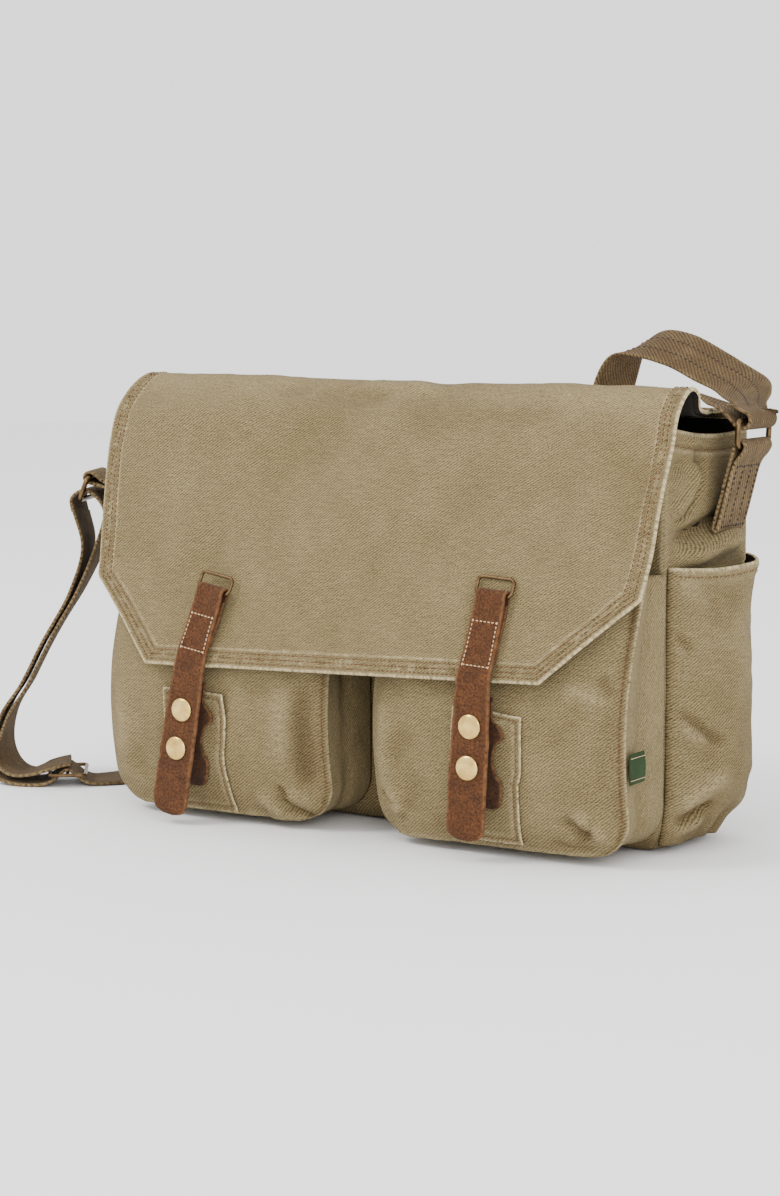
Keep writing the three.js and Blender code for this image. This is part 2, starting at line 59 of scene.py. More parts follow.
# ---------------------------------------------------------------- sizes shared with the frame
# every size is in millimetres
CANVAS = 2.4
LINER = 1.2
LEATHER = 2.4
WEB_THICK = 2.2
WEB_WIDTH = 38
STITCH = 3.3
SNUG = 0.35  # air the frame leaves between two layers

BODY = dict(front_half=187, back_half=194, front=-36, back=62, curl=14)
BODY_MIDDLE = (BODY["front"] + BODY["back"]) / 2
BODY_DEEP_HALF = (BODY["back"] - BODY["front"]) / 2
BODY_HEM = 9.2  # how far below its top edge the body is hemmed
FLAP = dict(half=200, hem_half=143, back_half=176, clip=55, fold=0.58, taper=0.72, tilt=0.032)
FLAP_LENGTH = 293.79
FLAP_FOLD = (-51.557, 266.951)
FLAP_RISE = (0.5423, 0.8402)
HEM_Y, HEM_Z = -110, 107  # where the flap's hem hangs
SLOPE = math.atan2(55, 155)

# side view of the flap, from the hem to the back seam, at its left end, middle and right end
FLAP_LEFT = [
    (-110, 107), (-95, 133), (-87, 155), (-82, 189), (-77.5, 220), (-72, 245), (-66, 260), (-56, 271),
    (-44, 279), (-29, 283.6), (-15, 279.5), (-6.5, 270.5), (8, 266.8), (35, 266), (60.5, 266),
]
FLAP_MIDDLE = [
    (-110, 107), (-100, 135), (-90, 163.4), (-72.5, 212.7), (-58, 253.5), (-50.5, 268.5), (-40, 279),
    (-27, 283.5), (-15, 279), (-6.5, 270.5), (8, 266.8), (35, 266), (60.5, 266),
]
FLAP_RIGHT = [
    (-110, 107), (-100, 137), (-90, 162), (-76.7, 187), (-69.3, 208), (-60.2, 230), (-50.8, 250),
    (-46.4, 264), (-40, 273.5), (-32, 280), (-25, 282), (-18.5, 279), (-11, 270.5), (8, 266.8),
    (35, 266), (60.5, 266),
]

POCKET = dict(bottom=6, top=172, corner=25, drop=13)
POCKET_EDGES = {"left": (-190, -19), "right": (15, 190)}
POCKET_PROFILE = [
    (0, -88), (25, -95.5), (60, -101.2), (90, -101.2), (112, -97.5), (152, -84.5), (172, -76),
]
SIDE_POCKET = dict(front=-34, back=58, bottom=6, front_top=175, back_top=177, bulge=24)
PATCH = {"left": dict(x=-112, bottom=8, top=86), "right": dict(x=104, bottom=11, top=92)}
PATCH_WIDTH = 47

STRAP_FRONT = -114.4
STRAPS = {
    "left": dict(ring=(-99, 149), hinge=(-105.4, 113.5), end=(-125.5, 7), snaps=(39, 64.5)),
    "right": dict(ring=(104.5, 158.5), hinge=(102, 118.5), end=(95.6, 14), snaps=(35.5, 60.5)),
}
LOOP = dict(width=27, height=13, wire=2.2, corner=3)
RING = dict(width=47.5, height=19.5, wire=3.5, corner=4.5)
RIGHT_TAB = dict(top=(213, 30, 246), foot=(198.6, 30, 193), across=(0, 1, 0), hang=(0.05, 0, 1))
LEFT_TAB = dict(top=(-257, -18, 212.5), foot=(-205, 5.5, 198), across=(-0.4, 0.917, 0),
                hang=(-0.35, -0.15, -1))
SLIDER = dict(centre=(-272.5, -33, 8.7), along=(-0.8, -0.6, 0), width=46, length=27, wire=2.6,
              corner=2.5)

# middle line of the shoulder strap, with the direction of its width at each point
STRAP_ROUTE = [
    (214, 30, 268.5, 0, 1, 0), (208, 40, 271, 0, 1, 0.05), (198, 58.5, 275.5, 0, 0.97, 0.2),
    (182, 75.5, 282.5, 0, 0.92, 0.36), (161, 81.5, 291.5, 0, 0.88, 0.46), (134, 86, 302.5, -0.1, 0.85, 0.5),
    (112, 89, 306, 0.05, 0.9, 0.4), (97, 90, 300, 0.2, 0.96, 0.2), (87, 89, 282, 0.28, 0.96, 0),
    (81, 89, 240, 0.28, 0.96, 0), (74, 89, 160, 0.15, 1, 0), (68, 89, 80, 0, 1, 0), (56, 89, 28, 0, 1, 0),
    (24, 90, 5, 0, 1, 0), (-30, 91, 2.8, 0, 1, 0), (-110, 94, 2.8, 0, 1, 0), (-175, 92, 2.8, -0.2, 0.95, 0),
    (-218, 74, 2.8, -0.6, 0.8, 0), (-240, 42, 2.8, -0.95, 0.3, 0), (-243, 12, 2.8, -1, 0.1, 0),
    (-250, -11, 2.8, -0.8, 0.6, 0), (-259, -22.4, 3.2, -0.6, 0.8, 0), (-263.6, -26, 5.2, -0.6, 0.8, 0),
    (-268, -29.4, 9.8, -0.6, 0.8, 0), (-270.4, -31.3, 12.3, -0.6, 0.8, 0), (-272.5, -33, 13.1, -0.6, 0.8, 0),
    (-274.6, -34.7, 12.3, -0.6, 0.8, 0), (-277, -36.5, 9.8, -0.6, 0.8, 0), (-281.4, -39.8, 5.2, -0.6, 0.8, 0),
    (-286, -43.2, 3.2, -0.6, 0.8, 0), (-300, -48, 2.8, -0.3, 0.95, 0), (-316, -47, 8, -0.3, 0.95, 0),
    (-324, -44, 24, -0.4, 0.9, 0), (-319, -42, 47, -0.5, 0.86, 0), (-303, -40, 70, -0.54, 0.84, 0),
    (-288, -36, 98, -0.54, 0.84, 0), (-267, -30, 134, -0.5, 0.86, 0), (-257, -26, 165, -0.45, 0.9, 0),
    (-265, -24, 191, -0.4, 0.917, 0),
]
# the same webbing folded round the left ring, then its inner layer down to the slider
FOLD_ROUTE = [
    (-267, -24.9, 188, -0.4, 0.917, 0), (-268.6, -24.9, 198, -0.4, 0.917, 0),
    (-262.5, -22, 204.4, -0.4, 0.917, 0), (-253.6, -18.6, 203, -0.4, 0.917, 0),
]
INNER_ROUTE = [
    (-271, -31.8, 16.4, -0.6, 0.8, 0), (-276, -35.8, 15.3, -0.6, 0.8, 0), (-283, -41, 12.9, -0.6, 0.8, 0),
    (-291, -44.8, 10, -0.5, 0.86, 0), (-301, -47, 8.6, -0.3, 0.95, 0), (-312, -46, 13.5, -0.3, 0.95, 0),
    (-317.5, -44, 26, -0.4, 0.9, 0), (-313, -42, 46, -0.5, 0.86, 0), (-297.5, -40, 70, -0.54, 0.84, 0),
    (-282.5, -36, 98, -0.54, 0.84, 0), (-261.5, -29.5, 134, -0.5, 0.86, 0), (-249, -22, 165, -0.45, 0.9, 0),
    (-245, -16, 191, -0.4, 0.917, 0),
]


# ---------------------------------------------------------------- camera
def make_camera():
    data = bpy.data.cameras.new("camera")
    data.lens = 82.53
    data.sensor_width = 36
    camera = bpy.data.objects.new("camera", data)
    camera.location = (0.9243, -1.4906, 0.3461)
    camera.rotation_euler = [math.radians(angle) for angle in (83.373, 0, 32.606)]
    scene.collection.objects.link(camera)
    scene.camera = camera


# ---------------------------------------------------------------- numbers
def vec(*values):
    return np.array(values, float)


def unit(v):
    return v / np.maximum(np.linalg.norm(v, axis=-1, keepdims=True), 1e-9)


def mix(a, b, t):
    return a + (b - a) * t


def smooth(low, high, value):
    t = np.clip((value - low) / (high - low), 0, 1)
    return t * t * (3 - 2 * t)


def hump(value, middle, width):
    return np.exp(-(((value - middle) / width) ** 2))


def curve(points, per_span):
    """Centripetal Catmull-Rom through points, the first three columns setting its pace."""
    p = np.asarray(points, float)
    p = np.vstack([2 * p[0] - p[1], p, 2 * p[-1] - p[-2]])
    rows = []
    for i in range(1, len(p) - 2):
        p0, p1, p2, p3 = p[i - 1 : i + 3]
        pairs = ((p0, p1), (p1, p2), (p2, p3))
        d0, d1, d2 = [max(1e-4, np.linalg.norm(b[:3] - a[:3])) ** 0.5 for a, b in pairs]
        m1 = ((p1 - p0) / d0 - (p2 - p0) / (d0 + d1) + (p2 - p1) / d1) * d1
        m2 = ((p2 - p1) / d1 - (p3 - p1) / (d1 + d2) + (p3 - p2) / d2) * d1
        last = i == len(p) - 3
        for t in np.linspace(0, 1, per_span + (1 if last else 0), endpoint=last):
            cubic = (2 * p1 - 2 * p2 + m1 + m2) * t**3 + (3 * p2 - 3 * p1 - 2 * m1 - m2) * t**2
            rows.append(cubic + m1 * t + p1)
    return np.array(rows)


def lengths(points):
    steps = np.linalg.norm(np.diff(points[:, :3], axis=0), axis=1)
    return np.concatenate([[0], np.cumsum(steps)])


def even(points, spacing):
    """The same line with points at even distances."""
    run = lengths(points)
    count = max(2, int(round(run[-1] / spacing)) + 1)
    at = np.linspace(0, run[-1], count)
    return np.stack([np.interp(at, run, points[:, k]) for k in range(points.shape[1])], 1)


def flat_curve(points, per_span):
    """A curve through points of a plane, and how far along it each of its points is."""
    line = curve([(a, b, 0) for a, b in points], per_span)
    return line[:, :2], lengths(line)


def outward(plan):
    """Directions that point out of a closed plan, one at each of its points."""
    following = np.roll(plan, -1, 0) - np.roll(plan, 1, 0)
    return unit(np.column_stack([following[:, 1], -following[:, 0]]))


def wobble(a, b, size, seed):
    """A smooth random surface between -1 and 1 whose lumps are size across."""
    def knot(ix, iy):
        h = (ix * 374761393 + iy * 668265263 + seed * 144269504) & 0xFFFFFFFF
        h = ((h ^ (h >> 13)) * 1274126177) & 0xFFFFFFFF
        return ((h ^ (h >> 16)) & 0xFFFF) / 32767.5 - 1

    x, y = np.asarray(a, float) / size, np.asarray(b, float) / size
    ix, iy = np.floor(x).astype(np.int64), np.floor(y).astype(np.int64)
    fx, fy = smooth(0, 1, x - ix), smooth(0, 1, y - iy)
    low = mix(knot(ix, iy), knot(ix + 1, iy), fx)
    high = mix(knot(ix, iy + 1), knot(ix + 1, iy + 1), fx)
    return mix(low, high, fy)


def stroke(a, b, line, width, height):
    """A ridge, or a furrow where height is negative, along a given line that fades at its ends."""
    path, run = flat_curve(line, 4)
    best = np.full(np.shape(a), 1e9)
    along = np.zeros(np.shape(a))
    for i in range(len(path) - 1):
        d = path[i + 1] - path[i]
        t = np.clip(((a - path[i, 0]) * d[0] + (b - path[i, 1]) * d[1]) / (d @ d), 0, 1)
        gap = np.hypot(a - path[i, 0] - t * d[0], b - path[i, 1] - t * d[1])
        near = gap < best
        best = np.where(near, gap, best)
        along = np.where(near, run[i] + t * (run[i + 1] - run[i]), along)
    share = along / run[-1]
    fade = np.clip(share / 0.3, 0, 1) * np.clip((1 - share) / 0.3, 0, 1)
    return height * np.exp(-((best / width) ** 2)) * smooth(0, 1, fade * 0.9 + 0.1)


def folds(a, b, strokes):
    return sum(stroke(a, b, line, width, height) for line, width, height in strokes)


# ---------------------------------------------------------------- meshes
RIM = 0.3  # how far a cloth's round edge stands out, as a share of its thickness


def make(name, verts, faces, paints, uv=None, marks=None, paint_index=None):
    mesh = bpy.data.meshes.new(name)
    mesh.from_pydata((np.asarray(verts) * MM).tolist(), [], [list(map(int, f)) for f in faces])
    for paint in paints:
        mesh.materials.append(paint)
    loops = np.zeros(len(mesh.loops), np.int32)
    mesh.loops.foreach_get("vertex_index", loops)
    if uv is not None:
        layer = mesh.uv_layers.new(name="weave")
        layer.data.foreach_set("uv", (np.asarray(uv) * MM)[loops].astype(np.float32).ravel())
    for key, values in (marks or {}).items():
        attribute = mesh.attributes.new(key, "FLOAT", "POINT")
        attribute.data.foreach_set("value", np.asarray(values, np.float32))
    if paint_index is not None:
        mesh.polygons.foreach_set("material_index", np.asarray(paint_index, np.int32))
    mesh.polygons.foreach_set("use_smooth", [True] * len(mesh.polygons))
    mesh.update()
    obj = bpy.data.objects.new(name, mesh)
    scene.collection.objects.link(obj)
    return obj


def cloth(name, points, normals, flat, thickness, paints, wear=None, shade=None):
    """A closed piece of cloth: the face at points, its thickness behind it and a round edge."""
    rows, cols = points.shape[:2]
    index = np.arange(rows * cols).reshape(rows, cols)
    count = rows * cols
    thick = np.broadcast_to(np.asarray(thickness, float), (rows, cols))[..., None]
    back = points - normals * thick
    grid = np.stack([index[:-1, :-1], index[:-1, 1:], index[1:, 1:], index[1:, :-1]], -1).reshape(-1, 4)
    loop = np.concatenate([index[0], index[1:, -1], index[-1, -2::-1], index[-2:0:-1, 0]])
    p, n, t = points.reshape(-1, 3)[loop], normals.reshape(-1, 3)[loop], thick.reshape(-1, 1)[loop]
    out = unit(np.cross(np.roll(p, -1, 0) - np.roll(p, 1, 0), n))
    middle = p - n * t / 2 + out * t * RIM
    i = np.arange(len(loop))
    j = np.roll(i, -1)
    m = 2 * count
    edge = np.stack([loop[j], loop[i], m + i, m + j], 1)
    under = np.stack([m + j, m + i, count + loop[i], count + loop[j]], 1)
    verts = np.concatenate([points.reshape(-1, 3), back.reshape(-1, 3), middle])
    faces = np.concatenate([grid, grid[:, ::-1] + count, edge, under])
    kinds = np.zeros(len(faces), int)
    kinds[len(grid) : 2 * len(grid)] = len(paints) - 1

    def spread(values):
        values = np.broadcast_to(0.0 if values is None else values, (rows, cols)).reshape(-1)
        return np.concatenate([values, values, values[loop]])

    uv = flat.reshape(-1, 2)
    uv = np.concatenate([uv, uv, uv[loop]])
    marks = {"wear": spread(wear), "shade": spread(shade)}
    return make(name, verts, faces, paints, uv, marks, kinds)


def lifted(base, relief, step=0.6):
    """The surface base(a, b), with a to its right and b up it, raised by relief(a, b)."""
    def surface(a, b):
        a, b = np.broadcast_arrays(np.asarray(a, float), np.asarray(b, float))
        right = base(a + step, b) - base(a - step, b)
        up = base(a, b + step) - base(a, b - step)
        normal = unit(np.cross(right, up))
        return base(a, b) + normal * relief(a, b)[..., None], normal
    return surface


def sweep(name, path, ring, rights, fronts, paints, closed=False, wear=None):
    """Carries the closed outline ring, of [right, front] pairs, along path and caps its ends."""
    count, size = len(path), len(ring)
    verts = path[:, None] + ring[None, :, :1] * rights[:, None] + ring[None, :, 1:] * fronts[:, None]
    index = np.arange(count * size).reshape(count, size)
    if closed:
        index = np.vstack([index, index[:1]])
    side = np.roll(index, -1, 1)
    faces = np.stack([index[:-1], side[:-1], side[1:], index[1:]], -1).reshape(-1, 4).tolist()
    if not closed:
        faces += [index[0, ::-1].tolist(), index[-1].tolist()]
    run = lengths(np.asarray(path))
    uv = np.stack(np.broadcast_arrays(ring[:, 0], run[:, None]), -1)
    clean = np.zeros(count * size)
    marks = {"wear": clean if wear is None else wear.ravel(), "shade": clean}
    return make(name, verts.reshape(-1, 3), faces, paints, uv.reshape(-1, 2), marks)


def tangents(path, closed=False):
    if closed:
        return unit(np.roll(path, -1, 0) - np.roll(path, 1, 0))
    return unit(np.gradient(path, axis=0))


def wire_outline(radius):
    angles = np.linspace(0, 2 * math.pi, 12, endpoint=False)
    return np.stack([np.cos(angles), np.sin(angles)], 1) * radius


def wire(name, path, radius, paint, normal):
    """A round wire bent into a closed loop in the plane that normal stands on."""
    ring = wire_outline(radius)
    t = tangents(path, closed=True)
    front = np.broadcast_to(unit(np.asarray(normal, float)), path.shape)
    right = unit(np.cross(front, t))
    return sweep(name, path, ring, right, front, [paint], closed=True)


def turned(name, profile, centre, axis, paint, segments=40):
    """A turned piece; profile is [radius, distance along axis], from the axis back to the axis."""
    axis = unit(np.asarray(axis, float))
    x = unit(np.cross(axis, vec(0.1, 0.2, 1)))
    y = np.cross(axis, x)
    angles = np.linspace(0, 2 * math.pi, segments, endpoint=False)
    around = np.cos(angles)[:, None] * x + np.sin(angles)[:, None] * y
    inner = profile[1:-1]
    verts = [np.asarray(centre, float) + axis * profile[0][1]]
    for radius, height in inner:
        verts.extend(np.asarray(centre, float) + axis * height + around * radius)
    verts.append(np.asarray(centre, float) + axis * profile[-1][1])
    faces = []
    at = lambda r, s: 1 + r * segments + s % segments
    for s in range(segments):
        faces.append([0, at(0, s + 1), at(0, s)])
        for r in range(len(inner) - 1):
            faces.append([at(r, s), at(r, s + 1), at(r + 1, s + 1), at(r + 1, s)])
        faces.append([len(verts) - 1, at(len(inner) - 1, s), at(len(inner) - 1, s + 1)])
    verts = np.array(verts)
    uv = verts[:, [0, 2]]
    marks = {"wear": np.zeros(len(verts)), "shade": np.zeros(len(verts))}
    return make(name, verts, faces, [paint], uv, marks)


THREAD_SIDES = 6
# one thread of a stitch, as [place along it, girth, height] at each of its rings
THREAD_SHAPE = [(-1, 0.3, -0.9), (-0.72, 0.85, -0.15), (0, 1, 0.25), (0.72, 0.85, -0.15), (1, 0.3, -0.9)]


def stitches(name, rows, paint, length=2.3, pitch=STITCH, radius=0.42):
    """Threads laid along rows, each a pair of points and the normals under them."""
    verts, faces = [], []
    angles = np.linspace(0, 2 * math.pi, THREAD_SIDES, endpoint=False)
    for points, normals in rows:
        line = even(np.column_stack([points, normals]), pitch)
        spots, ups = line[:, :3], unit(line[:, 3:])
        along = unit(np.gradient(spots, axis=0))
        aside = unit(np.cross(ups, along))
        for spot, up, run, side in zip(spots, ups, along, aside):
            start = len(verts)
            for reach, girth, rise in THREAD_SHAPE:
                centre = spot + run * reach * length / 2 + up * rise * radius
                for angle in angles:
                    verts.append(centre + (side * math.cos(angle) + up * math.sin(angle)) * radius * girth)
            last = start + (len(THREAD_SHAPE) - 1) * THREAD_SIDES
            for low in range(start, last, THREAD_SIDES):
                for s in range(THREAD_SIDES):
                    a, b = low + s, low + (s + 1) % THREAD_SIDES
                    faces.append([a, b, b + THREAD_SIDES, a + THREAD_SIDES])
            faces.append([start + s for s in range(THREAD_SIDES - 1, -1, -1)])
            faces.append([last + s for s in range(THREAD_SIDES)])
    verts = np.array(verts)
    return make(name, verts, faces, [paint], verts[:, [0, 2]])


# ---------------------------------------------------------------- materials
def srgb(red, green, blue):
    channel = lambda c: c / 12.92 if c <= 0.04045 else ((c + 0.055) / 1.055) ** 2.4
    return tuple(channel(c / 255) for c in (red, green, blue)) + (1,)


class Paint:
    """A node material built up step by step."""

    def __init__(self, name, roughness, metallic=0.0, sheen=0.0, specular=0.5):
        self.material = bpy.data.materials.new(name)
        self.material.use_nodes = True
        self.tree = self.material.node_tree
        self.shader = self.tree.nodes["Principled BSDF"]
        self.shader.inputs["Roughness"].default_value = roughness
        self.shader.inputs["Metallic"].default_value = metallic
        self.shader.inputs["Sheen Weight"].default_value = sheen
        self.shader.inputs["Specular IOR Level"].default_value = specular

    def node(self, kind, settings=None, **inputs):
        made = self.tree.nodes.new("ShaderNode" + kind)
        for key, value in (settings or {}).items():
            setattr(made, key, value)
        for key, value in inputs.items():
            self.feed(made.inputs[key.replace("_", " ")], value)
        return made

    def feed(self, socket, value):
        if isinstance(value, bpy.types.NodeSocket):
            self.tree.links.new(value, socket)
        else:
            socket.default_value = value

    def math(self, operation, a, b=0.0):
        made = self.tree.nodes.new("ShaderNodeMath")
        made.operation = operation
        self.feed(made.inputs[0], a)
        self.feed(made.inputs[1], b)
        return made.outputs[0]

    def blend(self, mode, factor, a, b):
        made = self.tree.nodes.new("ShaderNodeMix")
        made.data_type = "RGBA"
        made.blend_type = mode
        self.feed(made.inputs[0], factor)
        self.feed(made.inputs[6], a)
        self.feed(made.inputs[7], b)
        return made.outputs[2]

    def grain(self, scale, detail=2.0, stretch=(1, 1, 1), turn=0.0, roughness=0.55):
        placed = self.node("Mapping", Vector=self.place())
        placed.inputs["Scale"].default_value = stretch
        placed.inputs["Rotation"].default_value = (0, 0, turn)
        made = self.node("TexNoise", Vector=placed.outputs[0], Scale=scale, Detail=detail,
                         Roughness=roughness)
        return made.outputs["Fac"]

    def lines(self, pitch, turn, waver=0.0):
        """Parallel threads pitch millimetres apart, turned by an angle."""
        placed = self.node("Mapping", Vector=self.place())
        placed.inputs["Rotation"].default_value = (0, 0, turn)
        made = self.node("TexWave", Vector=placed.outputs[0], Scale=2 * math.pi / (20 * pitch * MM),
                         Distortion=waver, Detail=2.0, Detail_Scale=1.5)
        return made.outputs["Fac"]

    def place(self):
        return self.node("UVMap", {"uv_map": "weave"}).outputs[0]

    def mark(self, name):
        return self.node("Attribute", {"attribute_name": name}).outputs["Fac"]

    def spread(self, value, low, high):
        """Stretches value so that low becomes 0 and high becomes 1."""
        made = self.node("MapRange", Value=value)
        made.inputs["From Min"].default_value = low
        made.inputs["From Max"].default_value = high
        return made.outputs[0]

    def finish(self, colour, height, depth, strength=1.0):
        self.feed(self.shader.inputs["Base Color"], colour)
        bump = self.node("Bump", Height=height, Strength=strength, Distance=depth * MM)
        self.feed(self.shader.inputs["Normal"], bump.outputs[0])
        return self.material


def canvas_paint(name, base, light, dark, worn):
    """Washed cotton twill: fine diagonal ribs, slubs, faded patches, pale rubbed edges and painted shade."""
    p = Paint(name, 0.92, sheen=0.02, specular=0.12)
    twill = p.lines(1.55, math.radians(52), 1.6)
    weft = p.lines(1.15, math.radians(90), 1.2)
    speckle = p.grain(900, 3.0, roughness=0.7)
    slub = p.grain(110, 4.0, stretch=(1, 6, 1))
    patches = p.grain(30, 5.0, roughness=0.6)
    colour = p.blend("MIX", p.spread(patches, 0.25, 0.75), dark, light)
    colour = p.blend("MIX", 0.35, colour, base)
    thread = p.math("ADD", p.math("MULTIPLY", twill, 0.5), p.math("MULTIPLY", weft, 0.14))
    thread = p.math("ADD", thread, p.math("MULTIPLY", p.spread(speckle, 0.38, 0.62), 0.46))
    tint = p.blend("MIX", thread, (0.2, 0.19, 0.17, 1), (1.72, 1.72, 1.76, 1))
    colour = p.blend("MULTIPLY", 1.0, colour, tint)
    streak = p.blend("MIX", p.spread(slub, 0.3, 0.7), (0.85, 0.85, 0.83, 1), (1.16, 1.16, 1.17, 1))
    colour = p.blend("MULTIPLY", 1.0, colour, streak)
    rubbed = p.math("MULTIPLY", p.mark("wear"), p.spread(p.grain(420, 4.0), 0.32, 0.6))
    colour = p.blend("MIX", rubbed, colour, worn)
    # painted shade: the shade mark darkens the colour in creases, recesses and towards the floor, and along
    # some stitched seams
    colour = p.blend("MULTIPLY", p.mark("shade"), colour, (0.42, 0.36, 0.28, 1))
    height = p.math("ADD", thread, p.math("MULTIPLY", speckle, 0.4))
    return p.finish(colour, height, 0.3, 0.8)


def webbing_paint(name, base, light, dark):
    """Thick cotton webbing: ribs across it with coarse twisted threads."""
    p = Paint(name, 0.9, sheen=0.02, specular=0.12)
    rib = p.lines(2.1, math.radians(38), 0.9)
    cross = p.lines(1.5, math.radians(-38), 0.9)
    fibre = p.grain(700, 4.0, stretch=(1.6, 1, 1))
    patches = p.grain(45, 3.0)
    colour = p.blend("MIX", p.spread(patches, 0.1, 0.9), dark, light)
    colour = p.blend("MIX", 0.4, colour, base)
    thread = p.math("ADD", p.math("MULTIPLY", rib, 0.5), p.math("MULTIPLY", cross, 0.25))
    thread = p.math("ADD", thread, p.math("MULTIPLY", p.spread(fibre, 0.34, 0.66), 0.5))
    colour = p.blend("MIX", p.math("MULTIPLY", p.mark("wear"), 0.4), colour, srgb(140, 121, 88))
    tint = p.blend("MIX", thread, (0.16, 0.14, 0.12, 1), (1.95, 1.95, 1.95, 1))
    colour = p.blend("MULTIPLY", 1.0, colour, tint)
    # painted shade from the shade mark, which is zero on all the webbing
    colour = p.blend("MULTIPLY", p.mark("shade"), colour, (0.3, 0.25, 0.2, 1))
    return p.finish(colour, thread, 0.5, 0.9)


def suede_paint(name, base, light, dark):
    """Brushed leather: blotches, a fine nap, rubbed edges and painted shade."""
    p = Paint(name, 0.88, sheen=0.05, specular=0.18)
    blotch = p.grain(90, 5.0, roughness=0.62)
    nap = p.grain(620, 5.0, roughness=0.75)
    pores = p.grain(2600, 2.0)
    colour = p.blend("MIX", p.spread(blotch, 0.3, 0.7), dark, light)
    colour = p.blend("MIX", 0.35, colour, base)
    fuzz = p.math("ADD", p.math("MULTIPLY", p.spread(nap, 0.38, 0.62), 0.75), p.math("MULTIPLY", pores, 0.25))
    tint = p.blend("MIX", fuzz, (0.3, 0.28, 0.26, 1), (1.75, 1.75, 1.75, 1))
    colour = p.blend("MULTIPLY", 1.0, colour, tint)
    rubbed = p.math("MULTIPLY", p.mark("wear"), p.spread(p.grain(300, 3.0), 0.3, 0.6))
    colour = p.blend("MIX", rubbed, colour, srgb(132, 92, 58))
    # painted shade: the shade mark darkens the undersides of the leather strips and, slightly, the whole stud
    # tab
    colour = p.blend("MULTIPLY", p.mark("shade"), colour, (0.35, 0.28, 0.24, 1))
    return p.finish(colour, fuzz, 0.3, 0.8)


def plain_cloth_paint(name, light, dark, roughness=0.9):
    p = Paint(name, roughness, specular=0.2)
    weave = p.math("ADD", p.lines(0.8, 0), p.lines(0.8, math.radians(90)))
    colour = p.blend("MIX", p.spread(p.grain(60, 4.0), 0.3, 0.7), dark, light)
    tint = p.blend("MIX", p.math("MULTIPLY", weave, 0.5), (0.75, 0.75, 0.75, 1), (1.2, 1.2, 1.2, 1))
    return p.finish(p.blend("MULTIPLY", 1.0, colour, tint), weave, 0.12, 0.6)


def metal_paint(name, light, dark, roughness):
    """Worn plated metal with faint scratches and dull patches."""
    p = Paint(name, roughness, metallic=1.0)
    patches = p.grain(160, 4.0)
    scratch = p.grain(900, 3.0, stretch=(1, 0.12, 1), turn=0.6)
    colour = p.blend("MIX", p.spread(patches, 0.35, 0.65), dark, light)
    rough = p.node("MapRange", Value=p.grain(400, 4.0))
    rough.inputs["To Min"].default_value = roughness - 0.08
    rough.inputs["To Max"].default_value = roughness + 0.14
    p.feed(p.shader.inputs["Roughness"], rough.outputs[0])
    return p.finish(colour, p.math("ADD", scratch, p.math("MULTIPLY", patches, 0.7)), 0.05, 0.5)


def thread_paint(name, light, dark):
    p = Paint(name, 0.8, sheen=0.1, specular=0.3)
    twist = p.grain(900, 3.0)
    return p.finish(p.blend("MIX", p.spread(twist, 0.3, 0.7), dark, light), twist, 0.08, 0.6)


CANVAS_PAINT = canvas_paint("canvas", srgb(114, 100, 70), srgb(122, 108, 77), srgb(103, 90, 62),
                            srgb(198, 182, 142))
LINING_PAINT = plain_cloth_paint("lining", srgb(36, 30, 26), srgb(22, 19, 17))
WEB_PAINT = webbing_paint("webbing", srgb(72, 57, 37), srgb(86, 69, 46), srgb(55, 43, 28))
SUEDE_PAINT = suede_paint("suede", srgb(74, 44, 22), srgb(92, 56, 29), srgb(52, 30, 15))
DARK_SUEDE_PAINT = suede_paint("dark_suede", srgb(58, 36, 20), srgb(76, 47, 27), srgb(42, 26, 15))
BRASS_PAINT = metal_paint("brass", srgb(236, 205, 128), srgb(205, 166, 92), 0.24)
BRONZE_PAINT = metal_paint("bronze", srgb(112, 90, 62), srgb(76, 60, 42), 0.36)
TAG_PAINT = plain_cloth_paint("tag", srgb(46, 64, 36), srgb(32, 49, 28))
SEAM_THREAD = thread_paint("seam_thread", srgb(104, 66, 34), srgb(76, 47, 24))
PALE_THREAD = thread_paint("pale_thread", srgb(208, 180, 142), srgb(172, 142, 106))
PALE_THREAD_WORN = thread_paint("frayed_thread", srgb(142, 124, 94), srgb(96, 80, 58))
DARK_THREAD = thread_paint("dark_thread", srgb(48, 34, 22), srgb(34, 24, 16))


def place_piece(obj, slot, body, *replaced):
    if replaced:
        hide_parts(*replaced)
    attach(obj, body)


# ---------------------------------------------------------------- shoulder strap
def ribbon_ring():
    """Outline of the webbing: flat faces and round edges."""
    half, deep = WEB_WIDTH / 2 - 1.1, WEB_THICK / 2
    across = np.linspace(-half, half, 15)
    top = [(x, deep) for x in across]
    bottom = [(x, -deep) for x in across[::-1]]
    bend = np.linspace(math.pi / 2, -math.pi / 2, 6)[1:-1]
    right = [(half + deep * math.cos(a), deep * math.sin(a)) for a in bend]
    left = [(-half - deep * math.cos(a), -deep * math.sin(a)) for a in bend]
    return np.array(top + right + bottom + left)


def ribbon(name, route, spacing=2.5, ripple=0.35, seed=3, side=-1, lean=0.0, faded=0.0):
    """Webbing along a route; its face is on the route where side is -1 or 1, its middle where 0.

    Over its first lean millimetres its width eases away from the given direction.
    """
    dense = even(curve(route, 24), spacing)
    path, laid = dense[:, :3], unit(dense[:, 3:6])
    t = tangents(path)
    run = lengths(path)
    front = unit(np.cross(laid, t))
    askew = smooth(lean, 0, run)[:, None] if lean else 0.0
    across = unit(mix(unit(np.cross(t, front)), laid, askew))
    path = path + front * (side * WEB_THICK / 2 + ripple * wobble(run, 0 * run, 26, seed))[:, None]
    ring = ribbon_ring()
    worn = smooth(0.86, 1, np.abs(ring[:, 0]) / (WEB_WIDTH / 2)) * 0.5
    grain = 0.25 * wobble(run[:, None] + 0 * ring[:, 0], 0 * run[:, None] + ring[:, 0] * 3, 7, seed + 1)
    wear = np.clip(worn + faded + grain, 0, 1)
    obj = sweep(name, path, ring, across, front, [WEB_PAINT], wear=wear)
    return obj, path, across, front


